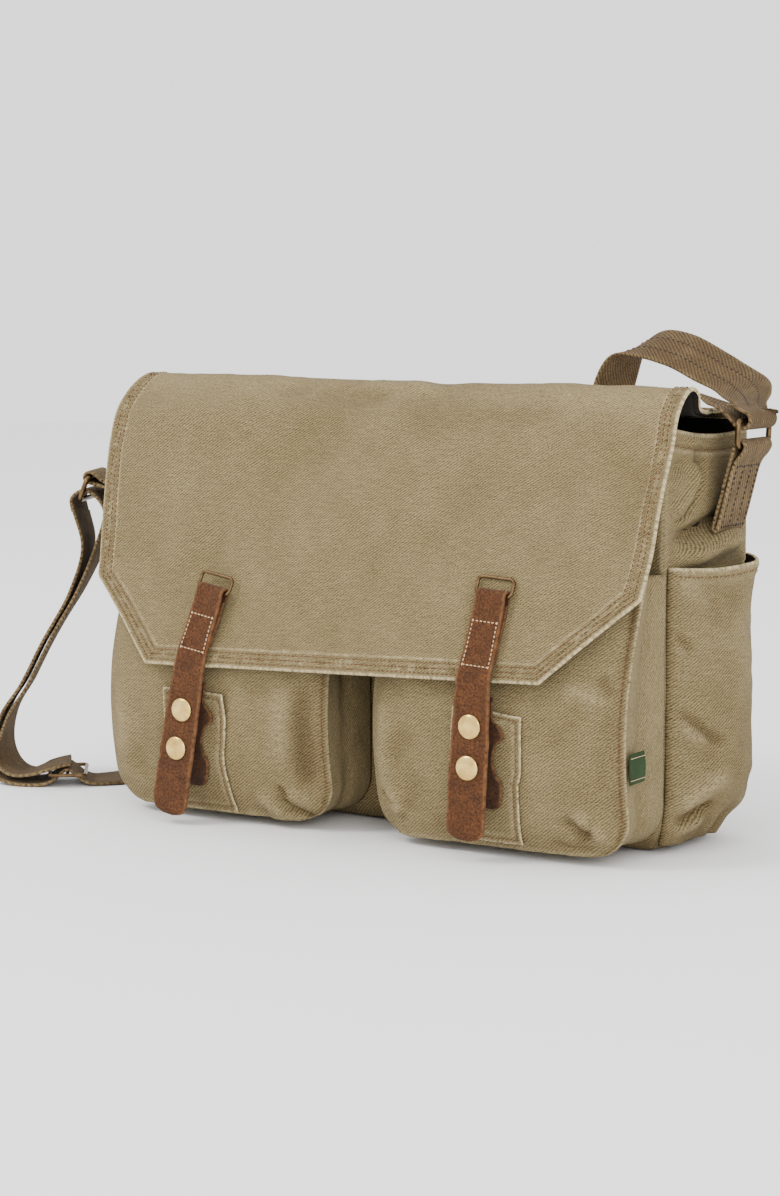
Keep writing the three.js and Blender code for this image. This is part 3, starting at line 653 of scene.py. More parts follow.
def ribbon_stitches(name, path, across, front, start, stop, body, offset=6.6):
    """Two rows of thread along the webbing."""
    part = slice(start, stop)
    rows = []
    for side in (-1, 1):
        spots = path[part] + across[part] * side * offset + front[part] * WEB_THICK / 2
        rows.append((spots, front[part]))
    place_piece(stitches(name, rows, DARK_THREAD, length=2.5, pitch=4.1, radius=0.52), "webbing", body)


def build_shoulder_strap():
    strap, path, across, front = ribbon("shoulder_strap_web", STRAP_ROUTE, ripple=0.2, lean=85)
    place_piece(strap, "webbing", "bag", "shoulder_strap")
    ribbon_stitches("shoulder_strap_stitching", path, across, front, 4, 150, "bag")
    inner_route = FOLD_ROUTE + INNER_ROUTE[::-1]
    inner, inner_path, _, _ = ribbon("shoulder_strap_inner_web", inner_route, seed=5, side=1)
    place_piece(inner, "webbing", "bag", "shoulder_strap_inner")
    slider = build_slider()


def round_rect(width, height, radius, per_corner=8):
    x, y = width / 2 - radius, height / 2 - radius
    points = []
    for cx, cy, start in ((x, y, 0), (-x, y, 90), (-x, -y, 180), (x, -y, 270)):
        for angle in np.radians(start + np.linspace(0, 90, per_corner)):
            points.append((cx + radius * math.cos(angle), cy + radius * math.sin(angle)))
    return np.array(points)


def wire_loop(name, wide, high, corner, radius, centre, x, z, normal, spacing):
    """A rectangle of wire with round corners; its width runs along x and its height along z."""
    flat = round_rect(wide - 2 * radius, high - 2 * radius, corner)
    path = centre + flat[:, :1] * x + flat[:, 1:] * z
    path = even(np.vstack([path, path[:1]]), spacing)[:-1]
    return wire(name, path, radius, BRONZE_PAINT, normal)


def build_slider():
    centre, along = vec(*SLIDER["centre"]), unit(vec(*SLIDER["along"]))
    up = vec(0, 0, 1)
    across = np.cross(up, along)
    radius = SLIDER["wire"] / 2
    frame_piece = wire_loop("strap_slider_frame", SLIDER["length"], SLIDER["width"], SLIDER["corner"], radius,
                            centre, along, across, up, 1.6)
    bar_half = SLIDER["width"] / 2 - radius
    bar = centre + np.linspace(-bar_half, bar_half, 12)[:, None] * across
    ones = np.ones((len(bar), 1))
    bar_piece = sweep("strap_slider_bar", bar, wire_outline(radius), ones * along, ones * up, [BRONZE_PAINT])
    place_piece(frame_piece, "bronze", "bag", "strap_slider")
    place_piece(bar_piece, "bronze", "bag")
    bar_piece.parent = frame_piece
    return frame_piece


def axes(across, up):
    """Unit across, back and up for a piece whose local X is across and local Z is up."""
    z = unit(vec(*up))
    y = unit(np.cross(z, vec(*across)))
    return np.cross(y, z), y, z


def build_rings():
    for side, tab in (("right", RIGHT_TAB), ("left", LEFT_TAB)):
        x, y, z = axes(tab["across"], tab["hang"])
        radius = RING["wire"] / 2
        centre = vec(*tab["top"]) + z * (RING["height"] / 2 - radius)
        ring = wire_loop(f"side_ring_{side}_wire", RING["width"], RING["height"], RING["corner"] - radius / 2,
                         radius, centre, x, z, y, 1.4)
        place_piece(ring, "bronze", f"ring_{side}", f"side_ring_{side}")


def build_strap_folds():
    """The strap's right end: folded round its ring, with a short frayed tail left under it."""
    route = [
        (211, 32, 268.8, 0, 1, 0), (214.5, 30, 267.8, 0, 1, 0), (218.3, 30, 265.6, 0, 1, 0),
        (219.7, 30, 262, 0, 1, 0), (218.3, 30, 258.4, 0, 1, 0), (214.2, 30, 256.9, 0, 1, 0),
        (210.2, 30, 258.4, 0, 1, 0), (206.5, 30.5, 262, 0, 1, 0), (201, 33.5, 265.6, 0, 1, 0),
        (194, 39, 268.4, 0, 1, 0), (187, 45, 270.5, 0, 1, -0.1),
    ]
    fold, path, across, front = ribbon("strap_fold_right", route, spacing=1.2, ripple=0.1, side=0)
    place_piece(fold, "webbing", "bag")
    ribbon_stitches("strap_fold_right_stitching", path, across, front, 2, 14, "bag")
    rows = []
    ahead = unit(path[-1] - path[-3])
    for k, off in enumerate(np.linspace(-18, 18, 31)):
        root = path[-1] + across[-1] * off
        reach = 1.6 + 1.2 * wobble(off, 0, 2.3, 15)
        tip = root + ahead * reach + across[-1] * 0.8 * wobble(off, 9, 1.7, 16) - front[-1] * 0.5 * (k % 2)
        rows.append((np.array([root - ahead, tip]), np.broadcast_to(front[-1], (2, 3))))
    fray = stitches("strap_fold_right_fray", rows, PALE_THREAD_WORN, length=2.6, pitch=2.4, radius=0.4)
    place_piece(fray, "webbing", "bag")


def build_side_tabs():
    """Webbing folded round each ring's bar, its layers sewn together and to the gusset."""
    for side, tab in (("right", RIGHT_TAB), ("left", LEFT_TAB)):
        top, foot = vec(*tab["top"]), vec(*tab["foot"])
        x, y, z = axes(tab["across"], top - foot)
        reach = np.linalg.norm(top - foot)
        near, far = 3.6, 0.8
        outline = [(near, -reach * 0.5), (near, -reach * 0.25), (near, -2), (near, 0)]
        outline += [(near * math.cos(a), near * math.sin(a)) for a in np.radians(np.arange(20, 180, 20))]
        outline += [(-near, 0), (-2.6, -4), (-0.4, -8.5), (0.6, -13), (far, -reach * 0.5), (far, -reach + 4)]
        outline += [(far + 0.3, -reach + 1.5), (2.2, -reach + 0.3), (near - 0.3, -reach + 1.5)]
        outline += [(near, -reach + 4), (near, -reach * 0.5 - 1)]
        route = [(*(top + y * a + z * b), *x) for a, b in outline]
        obj, *_ = ribbon(f"side_tab_{side}_web", route, spacing=1.3, ripple=0.25, seed=9, side=0, faded=0.3)
        place_piece(obj, "webbing", "bag", f"side_tab_{side}")

        def seat(off, drop):
            return top + x * off - y * 0.55 + z * -drop

        downs, overs = np.linspace(13, reach - 4, 30), np.linspace(-15, 15, 20)
        rows = [np.array([seat(off, d) for d in downs]) for off in (-15.2, -5.4, 5.4, 15.2)]
        rows += [np.array([seat(off, d) for off in overs]) for d in (12.5, reach - 4)]
        laid = [(row, np.broadcast_to(-y, row.shape)) for row in rows]
        thread = stitches(f"side_tab_{side}_stitching", laid, DARK_THREAD, length=2.2, pitch=3.4, radius=0.5)
        place_piece(thread, "webbing", "bag")


# ---------------------------------------------------------------- body
def body_plan(count_front=150, count_side=42):
    """Points round the body's floor plan from the front left corner, with the side each is on."""
    bevel = 5
    fh, bh, fy, by = BODY["front_half"], BODY["back_half"], BODY["front"], BODY["back"]
    corners = [(-fh, fy), (fh, fy), (bh, by), (-bh, by)]
    counts = [count_front, count_side, count_front, count_side]
    points, sides = [], []
    for k in range(4):
        a, b = vec(*corners[k]), vec(*corners[(k + 1) % 4])
        before, after = unit(a - vec(*corners[k - 1])), unit(b - a)
        turn = [a - before * bevel, a, a + after * bevel]
        for t in (0.5, 0.75):
            p = turn[0] * (1 - t) ** 2 + 2 * turn[1] * t * (1 - t) + turn[2] * t * t
            points.append(p)
            sides.append(k)
        for t in np.linspace(0, 1, counts[k]):
            points.append(mix(a + after * bevel, b - after * bevel, t))
            sides.append(k)
        follow = unit(vec(*corners[(k + 2) % 4]) - b)
        turn = [b - after * bevel, b, b + follow * bevel]
        for t in (0.25, 0.5):
            points.append(turn[0] * (1 - t) ** 2 + 2 * turn[1] * t * (1 - t) + turn[2] * t * t)
            sides.append(k)
    return np.array(points), np.array(sides)


GUSSET_FOLDS = [
    ([(-30, 176), (0, 183), (30, 189), (58, 190)], 8, 8.0),
    ([(-30, 190), (5, 196), (34, 202), (62, 204)], 5, -6.0),
    ([(14, 236), (5, 222), (-8, 209), (-26, 198)], 3.0, -4.2),
    ([(3, 240), (-6, 224), (-18, 212), (-30, 206)], 5.5, 3.6),
    ([(-4, 240), (5, 238), (13, 234)], 4.2, -2.8),
    ([(-14, 247), (-4, 249), (6, 248)], 4, 2.6),
    ([(-30, 232), (-20, 236), (-8, 238)], 4, -1.8), ([(-32, 222), (-24, 224), (-14, 230)], 4, 1.8),
    ([(-30, 214), (-18, 205), (-4, 199)], 4, 1.5),
    ([(-24, 178), (-8, 170), (10, 168)], 7, -1.5),
    ([(20, 182), (36, 186), (52, 184)], 5, 1.5),
]
BACK_FOLDS = [
    ([(-150, 40), (-90, 90), (-60, 150)], 16, 2.2), ([(150, 30), (110, 80), (60, 120)], 14, -1.8),
    ([(-170, 200), (-100, 180), (-30, 190)], 12, 1.6), ([(30, 210), (90, 190), (170, 215)], 12, -1.5),
    ([(-40, 60), (0, 90), (20, 160)], 18, 2.0), ([(60, 40), (80, 70), (130, 90)], 9, 1.6),
    ([(-120, 20), (-60, 34), (0, 30)], 8, -1.6), ([(100, 230), (130, 180), (160, 150)], 10, 1.4),
]


def gusset_top(t):
    return mix(259, 254, t) - 4 * np.sin(math.pi * t)


def tucked(points):
    """Rounds the bag's lower corners, the back ones most."""
    x, y, z = points[..., 0], points[..., 1], points[..., 2]
    low = np.clip((40 - z) / 40, 0, 1) ** 2
    side = smooth(BODY["back_half"] - 40, BODY["back_half"] + 4, np.abs(x))
    back = smooth(BODY["back"] - 40, BODY["back"] + 3, y)
    front = 0.4 * smooth(BODY["front"] + 26, BODY["front"] - 3, y)
    moved = points.copy()
    moved[..., 0] = x - np.sign(x) * 20 * low * side * (back + front)
    moved[..., 1] = y - 15 * low * side * (back - front)
    return moved


def body_surface():
    """The four sides of the body as one lofted shell: rows go up, columns go round."""
    plan, sides = body_plan()
    out = outward(plan)
    share = np.clip((plan[:, 1] - BODY["front"]) / (BODY["back"] - BODY["front"]), 0, 1)
    flank = np.abs(out[:, 0]) > 0.5
    top = np.where(flank, gusset_top(share), np.where(out[:, 1] < 0, 256, 260))
    curl = BODY["curl"]
    angles = np.linspace(0, math.pi / 2, 8)[:-1]
    heights = [0.8 + curl * (1 - math.cos(a)) for a in angles]
    insets = [curl * (1 - math.sin(a)) for a in angles]
    rise = np.linspace(0, 1, 104)
    z = np.concatenate([np.repeat(np.array(heights)[:, None], len(plan), 1),
                        mix(0.8 + curl, top[None, :], rise[:, None])])
    inset = np.concatenate([insets, np.zeros(len(rise))])[:, None]
    x = plan[None, :, 0] * (1 - inset / BODY["front_half"])
    y = BODY_MIDDLE + (plan[None, :, 1] - BODY_MIDDLE) * (1 - inset / BODY_DEEP_HALF)
    points = np.stack([x, y, z], -1)
    normals = np.zeros_like(points)
    normals[..., :2] = out
    tip = (inset / curl)[..., None]
    normals = unit(normals * (1 - tip) + vec(0, 0, -1) * tip)

    right, left = np.clip(out[:, 0], 0, 1), np.clip(-out[:, 0], 0, 1)
    back = np.clip(out[:, 1], 0, 1)
    upper = smooth(168, 196, z)
    lumps = 0.9 * wobble(x + 3 * y, z, 46, 11) + 0.4 * wobble(x + y, z, 17, 12)
    swell = 3 * np.sin(math.pi * share)[None, :] * np.sin(math.pi * np.clip(z / 256, 0, 1))
    relief = (right + left)[None, :] * (swell + upper * 1.2 * wobble(y, z, 23, 13))
    relief = relief + right[None, :] * 1.5 * folds(y, z, GUSSET_FOLDS)
    relief = relief + left[None, :] * folds(-y + 20, z, GUSSET_FOLDS)
    belly = 3.0 * np.sin(math.pi * np.clip(z / 250, 0, 1))
    relief = relief + back[None, :] * (1.5 * folds(x, z, BACK_FOLDS) + belly)
    relief = relief + lumps * (0.6 + 0.5 * back[None, :])
    seam_pull = np.abs(out[:, 0] * out[:, 1])[None, :]
    corner = seam_pull * 2
    relief = relief + 1.7 * corner * smooth(6, 20, z)
    drop = top[None, :] - z
    hem = smooth(11, 8.5, drop) * 0.7 - 0.9 * hump(drop, BODY_HEM, 0.9)
    relief = relief + hem
    relief = relief * smooth(0, 10, z) * (1 - 0.3 * seam_pull)
    flat = np.stack([np.broadcast_to(lengths(plan), z.shape), z], -1)
    rubbed = 0.3 * corner**3 * smooth(4, 30, z)
    wear = 0.8 * hump(drop, 0, 0.9) + 0.4 * hump(drop, 11.2, 0.9) + rubbed
    # a darker line at the hem stitching, then painted shade towards the floor and in the hollows of the
    # gussets' folds
    shade = 0.5 * hump(drop, 9.6, 0.8) + 0.3 * smooth(30, 0, z)
    shade = shade + np.clip(-relief * 0.07, 0, 0.4) * (right + left)[None, :]
    points = tucked(points + normals * relief[..., None])
    return points, normals, flat, np.clip(wear, 0, 1), np.clip(shade, 0, 1), sides


def build_body():
    points, normals, flat, wear, shade, sides = body_surface()
    for k, name in enumerate(("front_panel", "gusset_right", "back_panel", "gusset_left")):
        own = np.nonzero(sides == k)[0]
        part = cloth(f"{name}_canvas", points[:, own], normals[:, own], flat[:, own], CANVAS,
                     [CANVAS_PAINT, LINING_PAINT], wear[:, own], shade[:, own])
        place_piece(part, "canvas", "bag", name)
        if k in (1, 3):
            heights = flat[:, own[2:-2], 1]
            line = heights[-1] - BODY_HEM
            rows = np.argmin(np.abs(heights - line), axis=0)
            spots = points[rows, own[2:-2]]
            spots[:, 2] = line
            stitched = stitches(f"{name}_hem_stitching", [(spots, normals[-5, own[2:-2]])], SEAM_THREAD)
            place_piece(stitched, "canvas", "bag")
    a, b = np.meshgrid(np.linspace(-176, 176, 120), np.linspace(-26, 52, 30))
    base_points = np.stack([a, b, 1.4 + 0.4 * wobble(a, b, 40, 21)], -1)
    down = np.broadcast_to(vec(0, 0, -1), base_points.shape)
    # painted shade: the whole base is darkened by 0.3 of the shade mark
    base_cloth = cloth("base_canvas", tucked(base_points)[::-1], down, np.stack([a, b], -1), CANVAS,
                       [CANVAS_PAINT], 0, 0.3)
    place_piece(base_cloth, "canvas", "bag", "base_panel")
    build_lining()
    build_back_band()


BACK_BAND = [(59.4, 266.8), (62.6, 266.3), (65.2, 263), (65.9, 257), (65.6, 249.5)]


def build_back_band():
    """The strip that binds the flap's back edge to the back panel."""
    line, run = flat_curve(BACK_BAND, 8)
    x, k = np.meshgrid(np.linspace(-178, 178, 240), np.arange(len(line)))
    puffs = 0.35 * wobble(x, run[k], 9, 24) + 0.2 * wobble(x, run[k], 4, 25)
    points = np.stack([x, line[k, 0] + puffs, line[k, 1] + 0.3 * puffs], -1)[::-1]
    direction = unit(np.gradient(line, axis=0))
    normals = np.zeros_like(points)
    normals[..., 1] = -direction[k, 1][::-1]
    normals[..., 2] = direction[k, 0][::-1]
    edge = np.minimum(run[k], run[-1] - run[k])[::-1]
    band = cloth("flap_back_band", points[:, ::-1], normals[:, ::-1], np.stack([x, run[k]], -1), 1.3,
                 [CANVAS_PAINT], 0.7 * hump(edge, 0, 0.8), 0.3 * hump(edge, 2.6, 0.7))
    place_piece(band, "canvas", "bag")
    rows = []
    for drop in (9.5, 15.0):
        r = int(np.argmin(np.abs(run - drop)))
        rows.append((points[len(line) - 1 - r, 4:-4], normals[len(line) - 1 - r, 4:-4]))
    place_piece(stitches("flap_back_band_stitching", rows, SEAM_THREAD), "canvas", "bag")


def build_lining():
    """The dark bag inside, open at the top, its walls a little slack."""
    plan, _ = body_plan(90, 26)
    short, narrow = 1 - 6 / BODY["front_half"], 1 - 7 / BODY_DEEP_HALF
    ring = np.column_stack([plan[:, 0] * short, BODY_MIDDLE + (plan[:, 1] - BODY_MIDDLE) * narrow])
    heights = np.concatenate([[5, 5, 7], np.linspace(12, 251, 60)])
    shrink = np.concatenate([[0.05, 0.9, 0.97], np.ones(60)])
    x = ring[None, :, 0] * shrink[:, None]
    y = BODY_MIDDLE + (ring[None, :, 1] - BODY_MIDDLE) * shrink[:, None]
    z = np.repeat(heights[:, None], len(ring), 1)
    out = outward(ring)
    slack = -np.abs(1.6 * wobble(x + 2 * y, z, 38, 31) + 0.6 * wobble(x - y, z, 15, 32)) * smooth(8, 40, z)
    points = tucked(np.stack([x + out[:, 0] * slack, y + out[:, 1] * slack, z], -1))
    closed = np.concatenate([points, points[:, :1]], 1)
    inward = -np.concatenate([out, out[:1]])
    normals = np.zeros_like(closed)
    normals[..., :2] = inward
    normals[:3] = vec(0, 0, 1)
    run = np.broadcast_to(np.arange(closed.shape[1]) * 4.0, closed.shape[:2])
    flat = np.stack([run, closed[..., 2]], -1)
    liner = cloth("bag_lining_cloth", closed[:, ::-1], normals[:, ::-1], flat, LINER, [LINING_PAINT])
    place_piece(liner, "lining", "bag", "lining")


# ---------------------------------------------------------------- side pockets
SIDE_POCKET_FOLDS = [
    ([(-33, 92), (-24, 84), (-10, 72), (4, 66)], 3.2, -3.0),
    ([(-34, 84), (-24, 76), (-12, 66)], 5, 2.2),
    ([(-33, 136), (-27, 131), (-22, 124)], 3, -2.2), ([(-33, 128), (-26, 122)], 4, 1.4),
    ([(-34, 30), (-22, 34), (-8, 44), (6, 50)], 6, 2.2), ([(-34, 22), (-18, 24), (0, 32)], 4, -2.6),
    ([(-32, 12), (-18, 16), (-4, 22)], 4.5, 2.4), ([(-30, 16), (-16, 22), (-2, 30)], 2.4, -1.8),
    ([(-22, 66), (0, 56), (22, 52)], 9, -1.4), ([(10, 150), (22, 120), (24, 84)], 11, 1.2),
    ([(54, 120), (46, 90), (44, 60)], 7, -1.8), ([(40, 30), (24, 20), (8, 16)], 6, -1.6),
    ([(-20, 160), (4, 154), (30, 157)], 9, -1.2), ([(-34, 168), (-20, 160), (-8, 148)], 6, 1.3),
    ([(50, 44), (40, 38), (24, 40)], 5, -1.1), ([(46, 26), (36, 24), (20, 26)], 5, 1.0),
]


GUSSET_FRONT = -33.25
GUSSET_DEEP = 92.5


def gusset_wall(y):
    """How far out the gusset stands at a place y along it."""
    return mix(BODY["front_half"], BODY["back_half"], np.clip((y - GUSSET_FRONT) / GUSSET_DEEP, 0, 1))


def pocket_share(y):
    """The share of the way from a side pocket's front edge to its back edge."""
    return (y - SIDE_POCKET["front"]) / (SIDE_POCKET["back"] - SIDE_POCKET["front"])


def mouth_height(u):
    """Height of a side pocket's mouth at a share u of the way along it."""
    return mix(SIDE_POCKET["front_top"], SIDE_POCKET["back_top"], u) - 3 * np.sin(math.pi * np.clip(u, 0, 1))


def side_pocket_base(y, z):
    u = np.clip(pocket_share(y), 0, 1)
    v = np.clip((z - SIDE_POCKET["bottom"]) / (mouth_height(u) - SIDE_POCKET["bottom"]), 0, 1)
    full = np.sin(math.pi / 2 * np.clip(v / 0.27, 0, 1)) * (1 - 0.36 * v * v)
    late = np.sin(math.pi * u ** 1.12) ** 0.7
    swell = SIDE_POCKET["bulge"] * np.maximum(late, 0) * full
    mouth = 5 * smooth(0.82, 1, v) * hump(u, 0.8, 0.16)
    return np.stack([gusset_wall(y) + 2.75 + swell + mouth, y, z], -1)


def side_pocket_relief(seed, shift):
    """The raising of one side pocket; shift slides the listed folds along it."""
    def relief(y, z):
        edge = smooth(0, 7, y - SIDE_POCKET["front"]) * smooth(0, 5, SIDE_POCKET["back"] - y)
        drop = mouth_height(pocket_share(y)) - z
        lumps = 1.1 * wobble(y, z, 30, seed) + 0.45 * wobble(y + z, z, 11, seed + 1)
        crumple = 1.6 * wobble(1.6 * y, z, 13, seed + 2) + 0.6 * wobble(y, z, 6, seed + 3)
        own = 1.5 * folds(y + shift, z, SIDE_POCKET_FOLDS)
        hem = 0.8 * smooth(9, 7.5, drop) - 0.8 * hump(drop, 5, 0.8)
        pull = 0.35 * np.sin(y * 0.9 + 2 * wobble(y, z, 9, seed)) * hump(drop, 6, 5)
        return (lumps + own + smooth(60, 16, z) * crumple) * edge * 0.9 + hem + pull
    return relief


def build_side_pockets():
    a, v = np.meshgrid(np.linspace(SIDE_POCKET["front"], SIDE_POCKET["back"], 62), np.linspace(0, 1, 100))
    top = mouth_height(pocket_share(a))
    b = mix(SIDE_POCKET["bottom"], top, v)
    for side, sign, seed, shift in (("right", 1, 41, 0), ("left", -1, 61, 12)):
        relief = side_pocket_relief(seed, shift)
        surface = lifted(side_pocket_base, relief)
        flip = vec(sign, 1, 1)
        points, normals = surface(a, b)
        points, normals = tucked(points) * flip, normals * flip
        flat = np.stack([a, b], -1)
        drop = top - b
        edge = np.abs(a - SIDE_POCKET["front"])
        rise = relief(a, b)
        # painted shade in the hollows of the folds
        crease_shade = np.clip(-rise * 0.16, 0, 0.55)
        rubbed = np.clip(rise * 0.07, 0, 0.3)
        wear = np.clip(0.95 * hump(drop, 0, 1.3) + 0.1 * hump(drop, 8, 1.2) + rubbed, 0, 1)
        # a darker line along the front seam, and painted shade towards the floor
        shade = np.clip(crease_shade + 0.5 * hump(edge, 0, 1.6) + 0.35 * smooth(26, 6, b), 0, 1)
        if sign < 0:
            grids = (points, normals, flat, wear, shade)
            points, normals, flat, wear, shade = [grid[:, ::-1] for grid in grids]
        pocket = cloth(f"side_pocket_{side}_canvas", points, normals, flat, CANVAS,
                       [CANVAS_PAINT, LINING_PAINT], wear, shade)
        place_piece(pocket, "canvas", "bag", f"side_pocket_{side}")
        y = np.linspace(SIDE_POCKET["front"] + 3, SIDE_POCKET["back"] - 3, 60)
        spots, ups = surface(y, mouth_height(pocket_share(y)) - 4.6)
        row = stitches(f"side_pocket_{side}_stitching", [(spots * flip, ups * flip)], SEAM_THREAD)
        place_piece(row, "canvas", "bag")


# ---------------------------------------------------------------- front pockets
def pocket_depth(z):
    line, _ = flat_curve(POCKET_PROFILE, 16)
    return np.interp(z, line[:, 0], line[:, 1])


def pocket_shape(side):
    a, b = POCKET_EDGES[side]
    return (a + b) / 2, (b - a) / 2


def pocket_base(side):
    middle, half = pocket_shape(side)

    def base(x, z):
        across = np.clip(np.abs(x - middle) / half, 0, 1.02)
        fall = POCKET["drop"] * across**5
        low = 3 * smooth(30, 6, z) ** 2
        return np.stack([x, pocket_depth(z) + fall + low, z], -1)

    return base


POCKET_FOLDS = {
    "left": [
        ([(-34, 100), (-33, 70), (-32, 40), (-34, 18)], 6.5, -4.2),
        ([(-46, 96), (-46, 60), (-50, 34)], 9, 1.6),
        ([(-56, 24), (-48, 15), (-38, 10), (-28, 8)], 2.6, -3.2), ([(-70, 25), (-58, 13), (-44, 8)], 5, 1.6),
        ([(-54, 30), (-50, 24), (-47, 20)], 2.0, -2.4), ([(-48, 26), (-38, 22), (-28, 22)], 5, 1.8),
        ([(-150, 60), (-160, 40), (-164, 20)], 9, -1.2), ([(-178, 90), (-172, 60), (-176, 30)], 7, 1.4),
        ([(-80, 96), (-70, 90), (-50, 92)], 6, -0.9),
    ],
    "right": [
        ([(24, 104), (27, 74), (26, 44), (32, 24)], 6, 1.6), ([(52, 74), (40, 66), (28, 50)], 8, -1.6),
        ([(20, 33), (28, 29), (36, 25)], 2.2, -2.6), ([(30, 36), (34, 26), (42, 19)], 5, 2.0),
        ([(46, 30), (40, 22), (34, 14)], 3.4, -1.6), ([(58, 50), (50, 36), (46, 20)], 8, -1.1),
        ([(150, 30), (158, 26), (168, 14)], 3.2, -2.6), ([(158, 36), (170, 26), (180, 14)], 4.5, 2.2),
        ([(172, 34), (168, 22), (160, 12)], 2.4, -1.8), ([(140, 14), (155, 10), (172, 10)], 3, -1.5),
        ([(184, 100), (180, 70), (178, 40)], 5, -1.4), ([(168, 106), (160, 90), (150, 70)], 8, -1.2),
        ([(150, 112), (165, 104), (182, 100)], 5, 1.6), ([(172, 118), (178, 112), (184, 102)], 3, -2.0),
    ],
}


def pocket_relief(side):
    middle, half = pocket_shape(side)
    patch = PATCH[side]
    seed = 71 if side == "left" else 91

    def relief(x, z):
        lumps = 1.2 * wobble(x, z, 44, seed) + 0.5 * wobble(x + z, z, 15, seed + 1)
        pucker = smooth(34, 8, z) * (0.9 * wobble(x * 1.5, z, 10, seed + 2))
        own = 1.55 * folds(x, z, POCKET_FOLDS[side]) + lumps + pucker
        under = smooth(PATCH_WIDTH / 2 + 8, PATCH_WIDTH / 2, np.abs(x - patch["x"]))
        under = under * smooth(patch["bottom"] - 10, patch["bottom"], z)
        under = under * smooth(patch["top"] + 9, patch["top"], z)
        edge = half - np.abs(x - middle)
        ridge = np.where(x > middle, 1.0, 0.0)
        lip = 1.5 * hump(edge, 0.8, 1.5) * ridge - 0.9 * hump(edge, 5, 1.6) * ridge
        return own * (1 - under * 0.97) * smooth(0, 9, edge + 2) + lip

    return relief


def build_front_pockets():
    for side in ("left", "right"):
        middle, half = pocket_shape(side)
        base, relief = pocket_base(side), pocket_relief(side)
        surface = lifted(base, relief)
        v = np.concatenate([np.linspace(0, 0.22, 30)[:-1], np.linspace(0.22, 1, 62)])
        u = np.concatenate([np.linspace(0, 0.04, 6)[:-1], np.linspace(0.04, 0.96, 84),
                            np.linspace(0.96, 1, 8)[1:]])
        u, v = np.meshgrid(u, v)
        z = mix(POCKET["bottom"], POCKET["top"], v)
        below = np.clip(POCKET["bottom"] + POCKET["corner"] - z, 0, None)
        reach = half - POCKET["corner"] + np.sqrt(np.clip(POCKET["corner"] ** 2 - below**2, 0, None))
        x = middle + (2 * u - 1) * reach
        points, normals = surface(x, z)
        rise = relief(x, z)
        edge = (1 - np.abs(2 * u - 1)) * reach
        seam = np.where(x > middle, 1.0, 0.25)
        rubbed = np.clip(rise * 0.06, 0, 0.2)
        wear = np.clip(0.45 * hump(edge, 0, 0.4) * seam + 0.3 * hump(v, 0, 0.012) + rubbed, 0, 1)
        # a darker band along the stitched seam edge, and painted shade in the hollows of the folds
        shade = np.clip(0.6 * hump(edge, 2.4, 1.5) * (seam > 0.5) + np.clip(-rise * 0.12, 0, 0.5), 0, 1)
        face = cloth(f"pocket_{side}_face_canvas", points, normals, np.stack([x, z], -1), CANVAS,
                     [CANVAS_PAINT], wear, shade)
        place_piece(face, "canvas", "bag", f"pocket_{side}_face")
        build_bellows(side, surface)
        seam_line = surface(middle + half - 2.9, np.linspace(30, 168, 92))
        thread = stitches(f"pocket_{side}_edge_stitching", [seam_line], SEAM_THREAD, radius=0.46)
        place_piece(thread, "canvas", "bag")
        build_patch(side, base)
    build_side_tag()


def build_bellows(side, face):
    """The folded strip round a front pocket's edge, from the body out to the pocket's face."""
    middle, half = pocket_shape(side)
    corner = POCKET["corner"]
    low = POCKET["bottom"] + corner
    left, right = middle - half + 0.8, middle + half - 0.8
    turn = np.radians(np.linspace(0, 90, 14))
    outline = [(left, h) for h in np.linspace(POCKET["top"], low, 50)]
    outline += [(left + corner * (1 - math.cos(t)), low - corner * math.sin(t) + 0.6) for t in turn[1:]]
    outline += [(x, POCKET["bottom"] + 0.6) for x in np.linspace(left + corner, right - corner, 56)[1:-1]]
    outline += [(right - corner * (1 - math.cos(t)), low - corner * math.sin(t) + 0.6) for t in turn[::-1]]
    outline += [(right, h) for h in np.linspace(low, POCKET["top"], 50)[1:]]
    outline = np.array(outline)
    following = np.gradient(outline, axis=0)
    out = unit(np.column_stack([following[:, 1], -following[:, 0]]))
    run = lengths(outline)
    share = np.linspace(0, 1, 26)[:, None]
    front_edge = face(outline[:, 0], outline[:, 1])[0][:, 1] + 1.6
    back_edge = BODY["front"] - 0.4
    y = mix(back_edge, front_edge[None, :], share)
    seed = 101 if side == "left" else 111
    belly = np.sin(math.pi * share)
    depth = -2.2 * belly + 1.3 * wobble(run[None, :] + 2 * y, y, 20, seed) * belly
    depth = depth + 0.5 * wobble(run[None, :], y, 8, seed + 1) * belly
    depth = depth - 2.4 * hump(share, 0.5, 0.13) * (1 + 0.3 * wobble(run[None, :], y, 30, seed))
    bottom = (out[:, 1] < -0.6)[None, :]
    depth = np.where(bottom, np.minimum(depth, -0.2) * 0.5, depth)
    x, z = outline[:, 0] + out[:, 0] * depth, outline[:, 1] + out[:, 1] * depth
    points = np.stack([x, y + 0 * depth, np.maximum(z, 2.2)], -1)
    normals = np.zeros_like(points)
    normals[..., 0] = out[:, 0]
    normals[..., 2] = out[:, 1]
    # painted shade along the inward fold down the bellows' middle
    shade = np.clip(0.2 * hump(share, 0.5, 0.16) + 0 * depth, 0, 1)
    flat = np.stack([np.broadcast_to(run, y.shape), y], -1)
    strip = cloth(f"pocket_{side}_bellows_canvas", points[::-1], normals[::-1], flat[::-1], CANVAS * 0.8,
                  [CANVAS_PAINT], 0.1, shade[::-1])
    place_piece(strip, "canvas", "bag", f"pocket_{side}_bellows")


PATCH_EDGES = {
    "left": ([(0, 0.5), (0.3, 0), (0.6, 0.8), (1, -0.5)],
             [(0, 1), (0.12, 0.8), (0.28, -0.5), (0.45, -1.8), (0.65, 0.6), (0.85, 1.6), (1, -0.5)]),
    "right": ([(0, 0), (0.3, -1.2), (0.6, -0.8), (1, 0.4)],
              [(0, -4.5), (0.25, -3), (0.45, -2.2), (0.7, 0.6), (1, 0.4)]),
}


